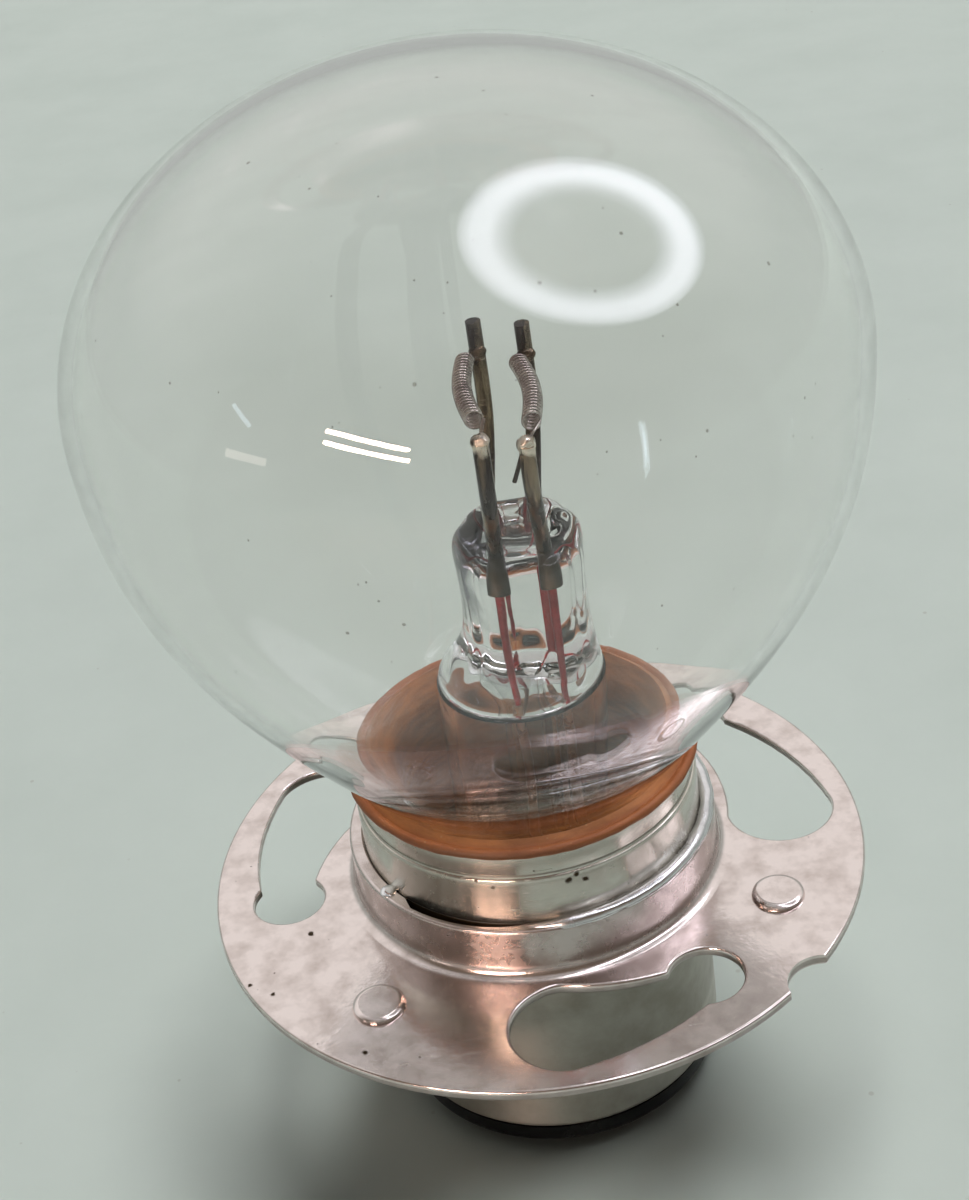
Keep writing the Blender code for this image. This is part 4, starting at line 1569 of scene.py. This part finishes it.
@dataclass
class Cap:
    """The drawn shell with its insulator, contact plates and solder tips."""

    radius: float = 0.00925
    wall: float = 0.00045
    step: float = 0.00015
    step_height: float = 0.0003
    band: float = 0.0013
    foot_round: float = 0.00045
    rim_round: float = 0.00012
    insulator_radius: float = 0.0091
    insulator_round: float = 0.00025
    contact_half: float = 0.0044
    plate_length: float = 0.0072
    plate_width: float = 0.0040
    plate_hole: float = 0.0007
    plate_round: float = 0.00006
    pocket_room: float = 8 * HAIR
    sharp: float = 40.0
    tip_margin: float = 0.0004
    tip_round: float = 0.00028
    turns: int = 144

    @property
    def bore(self) -> float:
        """The shell's inner radius."""
        return self.radius - self.step - self.wall

    def build(self) -> None:
        """Draw the shell, cast the insulator and set the contacts."""
        self.build_shell()
        self.build_insulator()
        for name, side in (("left", -1), ("right", 1)):
            self.build_contact(name, side)

    def build_shell(self) -> None:
        """The tube with a stepped band under its rim and a rounded lower edge."""
        band = self.radius - self.step
        crease = LEVELS.shell_top - self.band
        top, bottom = LEVELS.shell_top, LEVELS.shell_bottom
        outline = [(self.bore, top)]
        outline += Draw.arc((band - self.rim_round, top - self.rim_round), self.rim_round, 90, 0, 4)
        outline += [(band, crease + self.step), (band - self.step / 3, crease)]
        corners = [(band, crease - self.step), (self.radius, crease - self.step)]
        corners += [(self.radius, crease - self.step_height), (self.radius, crease - 2 * self.step_height)]
        outline += Draw.bezier(corners, 6)
        foot = (self.radius - self.foot_round, bottom + self.foot_round)
        outline += Draw.arc(foot, self.foot_round, 0, -90, 8) + [(self.bore, bottom)]
        shell = Bench.turned("cap_shell_fine", outline, self.turns)
        Bench.settle(shell, "cap_shell", SHELL_PLATE, crease=40.0)

    def build_insulator(self) -> None:
        """The black plug with a rounded disc under the shell and pockets for the plates."""
        plug = self.bore - HAIR
        disc_top = LEVELS.shell_bottom - HAIR
        disc, low = self.insulator_radius, LEVELS.insulator_bottom
        outline = [(0.0, LEVELS.plug_top), (plug, LEVELS.plug_top), (plug, disc_top), (disc, disc_top)]
        edge = (disc - self.insulator_round, low + self.insulator_round)
        outline += Draw.arc(edge, self.insulator_round, 0, -90, 8) + [(0.0, low)]
        insulator = Bench.turned("insulator_fine", outline, self.turns)
        for side in (-1, 1):
            middle = side * self.contact_half
            length, width = self.plate_length + self.pocket_room, self.plate_width + self.pocket_room
            pocket = Draw.stadium(length, width, middle)
            tool = Bench.prism("plate_pocket", pocket, 0.0, LEVELS.plate_top + HAIR)
            Bench.shape(insulator, tool, Cut.AWAY)
            bore = Draw.arc((middle, 0.0), self.plate_hole / 2, 0, 360, 16)[:-1]
            tool = Bench.prism("lead_bore", bore, 0.0, LEVELS.plug_top + self.step)
            Bench.shape(insulator, tool, Cut.AWAY)
        Bench.merge_flats(insulator)
        Bench.settle(insulator, "insulator", INSULATOR_GLASS)

    def build_contact(self, name: str, side: int) -> None:
        """One brass plate with its lead hole, and the solder tip under it.

        Args:
            name: Which contact.
            side: The side of the axis that it lies on.
        """
        middle = side * self.contact_half
        outline = Draw.stadium(self.plate_length, self.plate_width, middle)
        plate = Bench.prism(f"{name}_contact_plate_fine", outline, LEVELS.plate_bottom, LEVELS.plate_top)
        hole = Draw.arc((middle, 0.0), self.plate_hole, 0, 360, 20)[:-1]
        Bench.shape(plate, Bench.prism("plate_hole", hole, 0.0, 2 * LEVELS.plate_top), Cut.AWAY)
        Bench.bevel_sharp(plate, self.sharp, self.plate_round, 2)
        Bench.settle(plate, f"{name}_contact_plate", BRASS)

        length, width = self.plate_length - 2 * self.tip_margin, self.plate_width - 2 * self.tip_margin
        outline = Draw.stadium(length, width, middle)
        tip = Bench.prism(f"{name}_contact_tip_fine", outline, 0.0, LEVELS.plate_bottom - HAIR)
        Bench.bevel_sharp(tip, self.sharp, self.tip_round, 5)
        Bench.settle(tip, f"{name}_contact_tip", SOLDER)


@dataclass(frozen=True)
class Slot:
    """One keyed slot: the directions of its wide end and of its lobe, in degrees."""

    wide_turn: float
    lobe_turn: float


@dataclass
class Flange:
    """The prefocus flange with its collar, and the solder that holds it to the shell."""

    radius: float = 0.0180
    sheet: float = 0.0006
    edge: float = 0.00018
    bore: float = 0.00945
    collar_outer: float = 0.01005
    lip: float = 0.0002
    lean: float = 0.00928
    bend: float = 0.0007
    wide_radius: float = 0.0029
    centre_radius: float = 0.01385
    lobe_radius: float = 0.00195
    lobe_outward: float = 0.0001
    nib: float = 0.00045
    slot_sharp: float = 55.0
    slot_round: float = 0.00018
    notch_turn: float = 314.5
    notch_radius: float = 0.0019
    notch_depth: float = 0.0010
    dimple_turns: tuple[float, ...] = (100.0, 228.7, 331.5)
    dimple_radius: float = 0.0014
    dimple_rise: float = 0.00035
    dimple_draft: float = 0.0003
    dimple_levels: tuple[Pair, ...] = ((0.0, 0.0), (0.55, 0.0), (0.80, 0.20), (0.95, 0.60), (1.0, 1.2))
    gap_turns: Pair = (218.5, 265.0)
    gap_width: float = 0.00048
    gap_depth: float = 0.0020
    gap_steps: int = 24
    gap_mouth: float = 8.0
    solder_turns: Pair = (264.0, 430.0)
    solder_reach: float = 0.00962
    solder_radius: float = 0.00042
    solder_steps: int = 96
    solder_fade: float = 12.0
    solder_end: float = 0.25
    solder_swell: float = 0.07
    solder_waves: Pair = (9.0, 23.0)
    solder_lump: float = 0.0009
    solder_lump_depth: float = 0.00007
    spot_turn: float = 213.0
    spot_reach: Place = (0.00044, 0.00050, 0.00015)
    turns: int = 216
    slots: tuple[Slot, ...] = (Slot(270.5, 302.5), Slot(2.5, 42.0), Slot(148.5, 184.5))

    @property
    def underside(self) -> float:
        """The level of the sheet's lower face."""
        return LEVELS.flange - self.sheet

    def build(self) -> None:
        """Draw the sheet, punch it and solder it to the shell."""
        self.build_sheet()
        self.build_solder()

    def outline(self) -> Outline:
        """The section of the sheet and its drawn collar.

        Returns:
            Radius and level of each point.
        """
        lip = self.collar_outer - self.lip
        bend_outer = self.collar_outer + self.bend
        corner = (bend_outer, LEVELS.flange + self.bend)
        rim = self.radius - self.edge
        top, half_lip = LEVELS.collar_top, self.lip / 2
        outline = [(self.bore, top - self.sheet), (self.lean, top - self.lip)]
        outline += [(self.lean, top - half_lip), (self.lean + half_lip, top)]
        outline += Draw.arc((lip, top - self.lip), self.lip, 90, 0, 5)
        outline += Draw.arc(corner, self.bend, 180, 270, 10)
        outline += Draw.arc((rim, LEVELS.flange - self.edge), self.edge, 90, 0, 4)
        outline += Draw.arc((rim, self.underside + self.edge), self.edge, 0, -90, 4)
        return outline + Draw.arc(corner, self.bend + self.sheet, 270, 180, 10)

    def slot_outline(self, slot: Slot) -> Outline:
        """A keyed slot from above: wide end, a channel that closes in, and the lobe behind two nibs.

        Args:
            slot: Which slot.

        Returns:
            The outline's points.
        """
        mouth = degrees(asin((self.lobe_radius - self.nib) / self.lobe_radius))
        wide_at = Draw.polar(self.centre_radius, slot.wide_turn)
        lobe_at = Draw.polar(self.centre_radius + self.lobe_outward, slot.lobe_turn)
        wide = Draw.arc(wide_at, self.wide_radius, slot.wide_turn, slot.wide_turn - 180, 32)
        start, end = slot.lobe_turn - 90 - mouth, slot.lobe_turn - 450 + mouth
        lobe = Draw.arc(lobe_at, self.lobe_radius, start, end, 40)
        return wide + self.channel(wide[-1], lobe[0]) + lobe + self.channel(lobe[-1], wide[0])

    @staticmethod
    def channel(start: Pair, end: Pair, steps: int = 8) -> Outline:
        """The points between the ends of a channel's edge, along a spiral about the axis.

        Args:
            start: The edge's first end.
            end: Its other end.
            steps: How many chords it has.

        Returns:
            The points without both ends.
        """
        start_turn, end_turn = atan2(start[1], start[0]), atan2(end[1], end[0])
        sweep = (end_turn - start_turn + pi) % (2 * pi) - pi
        near, far = hypot(*start), hypot(*end)
        points = []
        for step in range(1, steps):
            share = step / steps
            radius, turn = near + (far - near) * share, start_turn + sweep * share
            points.append((radius * cos(turn), radius * sin(turn)))
        return points

    def dimple(self, turn: float, radius: float, bottom: float, top: float) -> Piece:
        """A round button with soft edges on the circle of the slots.

        Args:
            turn: Its direction in degrees.
            radius: Its radius at the sheet.
            bottom: Its lowest level.
            top: Its highest level.

        Returns:
            The solid that is joined on or cut away.
        """
        x, y = Draw.polar(self.centre_radius + self.lobe_outward, turn)
        rise = top - bottom
        rings = []
        for lift, draw_in in self.dimple_levels:
            reach = radius - self.dimple_draft * draw_in
            rings.append(Ring(x, bottom + rise * lift, reach, reach, y))
        return Bench.stack("dimple", rings, 40, Ends.FILLED)

    def build_sheet(self) -> None:
        """The turned sheet with its dimples raised and its slots, notch and gap cut."""
        flange = Bench.turned("prefocus_flange_fine", self.outline(), self.turns)
        low, high = self.underside - self.sheet, LEVELS.flange + self.bend
        for slot in self.slots:
            punch = Bench.prism("slot", self.slot_outline(slot), low, high)
            Bench.shape(flange, punch, Cut.AWAY)
        Bench.merge_flats(flange)
        Bench.bevel_sharp(flange, self.slot_sharp, self.slot_round, 3)
        middle, top = LEVELS.flange - self.sheet / 2, LEVELS.flange + self.dimple_rise
        inner, roof = self.dimple_radius - self.dimple_draft, self.underside + self.dimple_rise
        for turn in self.dimple_turns:
            Bench.shape(flange, self.dimple(turn, self.dimple_radius, middle, top), Cut.ONTO)
        for turn in self.dimple_turns:
            Bench.shape(flange, self.dimple(turn, inner, low, roof), Cut.AWAY)
        middle = Draw.polar(self.radius - self.notch_depth + self.notch_radius, self.notch_turn)
        notch = Draw.arc(middle, self.notch_radius, 0, 360, 40)[:-1]
        Bench.shape(flange, Bench.prism("notch", notch, low, high), Cut.AWAY)
        Bench.shape(flange, self.gap(), Cut.AWAY)
        Bench.merge_flats(flange)
        Bench.settle(flange, "prefocus_flange", FLANGE_PLATE, crease=30.0)

    def gap(self) -> Piece:
        """The crescent where the collar's lip stands off the shell.

        Returns:
            The solid that is cut away.
        """
        start, end = self.gap_turns
        count = self.gap_steps
        turns = [start + (end - start) * step / count for step in range(count + 1)]
        outer = []
        for step, turn in enumerate(turns):
            share = step / count
            reach = self.lean + self.gap_width * min(1.0, self.gap_mouth * share) * (1 - share**3) ** 0.5
            outer.append(Draw.polar(reach, turn))
        inner = [Draw.polar(self.bore - self.sheet / 2, turn) for turn in turns[::-1]]
        top = LEVELS.collar_top + self.sheet
        return Bench.prism("lip_gap", outer + inner, LEVELS.collar_top - self.gap_depth, top)

    def build_solder(self) -> None:
        """The uneven ridge along the collar's lip, and the dab beside the gap."""
        start, end = self.solder_turns
        count = self.solder_steps
        slow, quick = self.solder_waves
        level = LEVELS.collar_top - self.lip / 2
        line = []
        for step in range(count + 1):
            share = step / count
            turn = start + (end - start) * share
            wave = sin(slow * radians(turn)) * sin(quick * radians(turn))
            fade = min(1.0, self.solder_fade * min(share, 1 - share) + self.solder_end)
            swell = fade * (1.0 + self.solder_swell * wave)
            line.append((*Draw.polar(self.solder_reach, turn), level, swell))
        ridge = Bench.tube("flange_solder_fine", line, self.solder_radius, resolution=5)
        Bench.lumps(ridge, self.solder_lump, self.solder_lump_depth)
        Bench.settle(ridge, "flange_solder", SOLDER, crease=SOFT_CREASE)

        place = (*Draw.polar(self.solder_reach, self.spot_turn), LEVELS.collar_top)
        spot = Bench.blob("solder_spot_fine", place, self.spot_reach, self.spot_reach[2] / 3)
        Bench.settle(spot, "solder_spot", SOLDER, crease=SOFT_CREASE)


class Reach(Enum):
    """What a lamp is for: the light on matt surfaces, or its image in shiny ones."""

    MATT = "matt"
    GLOSS = "gloss"
    INSIDE = "inside"
    GLOSS_AND_INSIDE = "gloss and inside"


@dataclass(frozen=True)
class Strip:
    """A straight lamp between two directions, each given as turn and lift in degrees."""

    name: str
    start: Pair
    end: Pair
    radius: float
    glow: float
    colour: Colour
    reach: Reach


# Radius, glow and colour of the straight lamps
TUBE = (0.011, 85.0, (1.0, 0.70, 0.58))
CARD = (0.020, 4.0, (1.0, 0.86, 0.80))
COLD_STRIP = (0.010, 6.0, (0.75, 0.86, 1.0))


@dataclass
class Studio:
    """The floor, the lamps, the surroundings and the camera."""

    floor_size: float = 3.0
    floor_light: Colour = (0.585, 0.655, 0.615)
    floor_dark: Colour = (0.55, 0.62, 0.58)
    floor_rough: Pair = (0.55, 0.75)
    mottle_scale: float = 55.0
    mottle_span: Pair = (0.3, 0.7)
    grit: Colour = (0.30, 0.29, 0.25)
    grit_scale: float = 260.0
    grit_cover: float = 0.07
    grit_share: float = 0.35
    back_span: Pair = (0.25, 0.50)
    front_span: Pair = (0.0, 0.45)
    depth_span: Pair = (-0.2, 0.35)
    high_span: Pair = (0.78, 0.95)
    back_light: Colour = (0.98, 0.95, 0.93)
    inside_light: Colour = (0.49, 0.475, 0.465)
    front_light: Colour = (0.15, 0.12, 0.09)
    low_light: Colour = (0.46, 0.48, 0.46)
    high_light: Colour = (0.55, 0.55, 0.55)
    matt_share: float = 0.17
    key_turn: float = 35.0
    key_lift: float = 70.0
    key_half_angle: float = 22.0
    key_glow: float = 7.2
    key_distance: float = 2.5
    key_colour: Colour = (1.0, 0.995, 0.98)
    seen_light: Colour = (0.62, 0.66, 0.62)
    ring_turn: float = 2.0
    ring_lift: float = 62.0
    lamp_distance: float = 0.8
    ring_half_angle: float = 20.5
    ring_half_tube: float = 6.2
    ring_core: float = 0.25
    ring_glow: float = 5.2
    ring_edge_glow: float = 0.5
    ring_colour: Colour = (0.91, 0.90, 1.0)
    strips: tuple[Strip, ...] = (
        Strip("studio_upper_tube", (227.0, 28.0), (251.0, 23.0), *TUBE, Reach.GLOSS),
        Strip("studio_lower_tube", (227.0, 24.0), (251.0, 19.0), *TUBE, Reach.GLOSS),
        Strip("studio_left_card", (200.0, 12.0), (212.0, 13.0), *CARD, Reach.GLOSS),
        Strip("studio_blue_strip", (203.0, 22.0), (195.0, 26.0), *COLD_STRIP, Reach.INSIDE),
    )
    bulb_middle: Place = (0.0, 0.0, 0.045)
    camera_place: Place = (-0.000783, -0.085226, 0.085368)
    camera_right: Place = (0.98886, -0.07989, -0.12560)
    camera_up: Place = (0.14885, 0.53073, 0.83437)
    camera_forward: Place = (0.0, 0.84377, -0.53671)
    lens: float = 59.2155
    sensor: float = 36.0
    clip_start: float = 0.001

    def build(self) -> None:
        """Lay the floor, hang the lamps and place the camera."""
        bpy.context.scene.view_settings.view_transform = "Standard"
        self.build_floor()
        self.build_surroundings()
        self.build_key()
        self.build_ring()
        for strip in self.strips:
            self.build_strip(strip)
        self.build_camera()

    def build_floor(self) -> None:
        """A pale floor with faint mottling."""
        bpy.ops.object.select_all(action="DESELECT")
        bpy.ops.mesh.primitive_plane_add(size=self.floor_size, location=(0, 0, 0))
        floor = Bench.fresh("studio_floor")
        made, wiring = Wiring.material("studio_floor")
        shader, where = wiring.shader, wiring.where()
        mottle = Effects.place(wiring, Effect.CLOUDS, where, self.mottle_scale, *self.mottle_span)
        grit = Effects.place(wiring, Effect.SPECKS, where, self.grit_scale, self.grit_cover)
        colour = wiring.blend(mottle, self.floor_light, self.floor_dark)
        faint = wiring.math("MULTIPLY", grit, self.grit_share)
        wiring.feed(shader.inputs["Base Color"], wiring.blend(faint, colour, self.grit))
        wiring.feed(shader.inputs["Roughness"], wiring.span(mottle, 0.0, 1.0, *self.floor_rough))
        floor.data.materials.append(made)

    def build_surroundings(self) -> None:
        """Soft light from all round, dimmer and warmer from the camera's side."""
        world = bpy.data.worlds.new("studio")
        world.use_nodes = True
        bpy.context.scene.world = world
        wiring = Wiring(world.node_tree)
        where = wiring.add("ShaderNodeTexCoord").outputs["Generated"]
        way = wiring.add("ShaderNodeSeparateXYZ", Vector=where).outputs
        path = wiring.add("ShaderNodeLightPath").outputs
        back = wiring.blend(path["Is Transmission Ray"], self.back_light, self.inside_light)
        back = wiring.blend(wiring.span(way["Z"], *self.back_span), self.low_light, back)
        front = wiring.span(way["Z"], *self.front_span)
        front = wiring.blend(front, self.low_light, self.front_light)
        light = wiring.blend(wiring.span(way["Y"], *self.depth_span), front, back)
        light = wiring.blend(wiring.span(way["Z"], *self.high_span), light, self.high_light)
        background = world.node_tree.nodes["Background"]
        wiring.feed(background.inputs["Color"], wiring.blend(path["Is Camera Ray"], light, self.seen_light))
        strength = wiring.span(path["Is Diffuse Ray"], 0.0, 1.0, 1.0, self.matt_share)
        wiring.feed(background.inputs["Strength"], strength)

    def lamp(self, piece: Piece, colour: Colour, strength: float, reach: Reach) -> Wiring:
        """Light a lamp and keep it out of the camera's own view.

        Args:
            piece: The lamp.
            colour: Its light's colour.
            strength: How bright it is.
            reach: What the lamp is for.

        Returns:
            The wiring of its light.
        """
        made, wiring = Wiring.material(piece.name)
        sockets = wiring.shader.inputs
        sockets["Base Color"].default_value = (0.0, 0.0, 0.0, 1.0)
        sockets["Emission Color"].default_value = (*colour, 1.0)
        sockets["Emission Strength"].default_value = strength
        piece.data.materials.append(made)
        piece.visible_camera = False
        piece.visible_diffuse = reach is Reach.MATT
        piece.visible_glossy = reach in (Reach.GLOSS, Reach.GLOSS_AND_INSIDE)
        piece.visible_transmission = reach in (Reach.INSIDE, Reach.GLOSS_AND_INSIDE)
        return wiring

    def toward(self, turn: float, lift: float, distance: float) -> Vector:
        """A point seen from the bulb in a direction.

        Args:
            turn: The direction round the axis, in degrees.
            lift: The angle above the horizon.
            distance: How far away it is.

        Returns:
            The point.
        """
        way = Vector((*Draw.polar(cos(radians(lift)), turn), sin(radians(lift))))
        return Vector(self.bulb_middle) + distance * way

    def facing(self, place: Vector) -> Euler:
        """The turn that makes a lamp face the bulb."""
        return (place - Vector(self.bulb_middle)).to_track_quat("Z", "Y").to_euler()

    def build_key(self) -> None:
        """The round panel that lights the floor and the matt pieces."""
        place = self.toward(self.key_turn, self.key_lift, self.key_distance)
        reach = self.key_distance * tan(radians(self.key_half_angle))
        settings = {"location": place, "rotation": self.facing(place), "radius": reach}
        bpy.ops.object.select_all(action="DESELECT")
        bpy.ops.mesh.primitive_circle_add(vertices=64, fill_type="NGON", **settings)
        self.lamp(Bench.fresh("studio_key"), self.key_colour, self.key_glow, Reach.MATT)

    def build_ring(self) -> None:
        """The round lamp above the bulb that the glass mirrors, fading towards its edges."""
        place = self.toward(self.ring_turn, self.ring_lift, self.lamp_distance)
        reach = self.lamp_distance * tan(radians(self.ring_half_angle))
        tube = self.lamp_distance * tan(radians(self.ring_half_tube))
        settings = {"major_radius": reach, "minor_radius": tube, "major_segments": 96, "minor_segments": 12}
        bpy.ops.object.select_all(action="DESELECT")
        bpy.ops.mesh.primitive_torus_add(location=place, rotation=self.facing(place), **settings)
        ring = Bench.fresh("studio_ring")
        wiring = self.lamp(ring, self.ring_colour, self.ring_glow, Reach.GLOSS_AND_INSIDE)
        away = wiring.distance(wiring.where(), tuple(place))
        off = wiring.math("ABSOLUTE", wiring.math("SUBTRACT", away, reach), 0.0)
        glow = wiring.span(off, self.ring_core * tube, tube, self.ring_glow, self.ring_edge_glow)
        wiring.feed(wiring.shader.inputs["Emission Strength"], glow)

    def build_strip(self, strip: Strip) -> None:
        """A straight lamp that shows as a streak in the glass or the metal.

        Args:
            strip: Which lamp.
        """
        ends = [tuple(self.toward(*end, self.lamp_distance)) for end in (strip.start, strip.end)]
        self.lamp(Bench.tube(strip.name, ends, strip.radius), strip.colour, strip.glow, strip.reach)

    def build_camera(self) -> None:
        """The camera where the photograph was taken from."""
        data = bpy.data.cameras.new("studio_camera")
        data.lens = self.lens
        data.sensor_width = self.sensor
        data.clip_start = self.clip_start
        camera = bpy.data.objects.new("studio_camera", data)
        bpy.context.scene.collection.objects.link(camera)
        back = -Vector(self.camera_forward)
        turn = Matrix((self.camera_right, self.camera_up, back)).transposed()
        camera.matrix_world = Matrix.Translation(self.camera_place) @ turn.to_4x4()
        bpy.context.scene.camera = camera


def main() -> None:
    """Load the frame and dress every sub-assembly."""
    logging.basicConfig(level=logging.INFO, format="%(name)s %(message)s")
    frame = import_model()
    LOG.info("frame of %d nodes loaded", len(frame["nodes"]))
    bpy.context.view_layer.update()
    Studio().build()
    for assembly in (Cap(), Flange(), GlassBulb(), Stem(), Mount()):
        assembly.build()


if __name__ == "__main__":
    main()
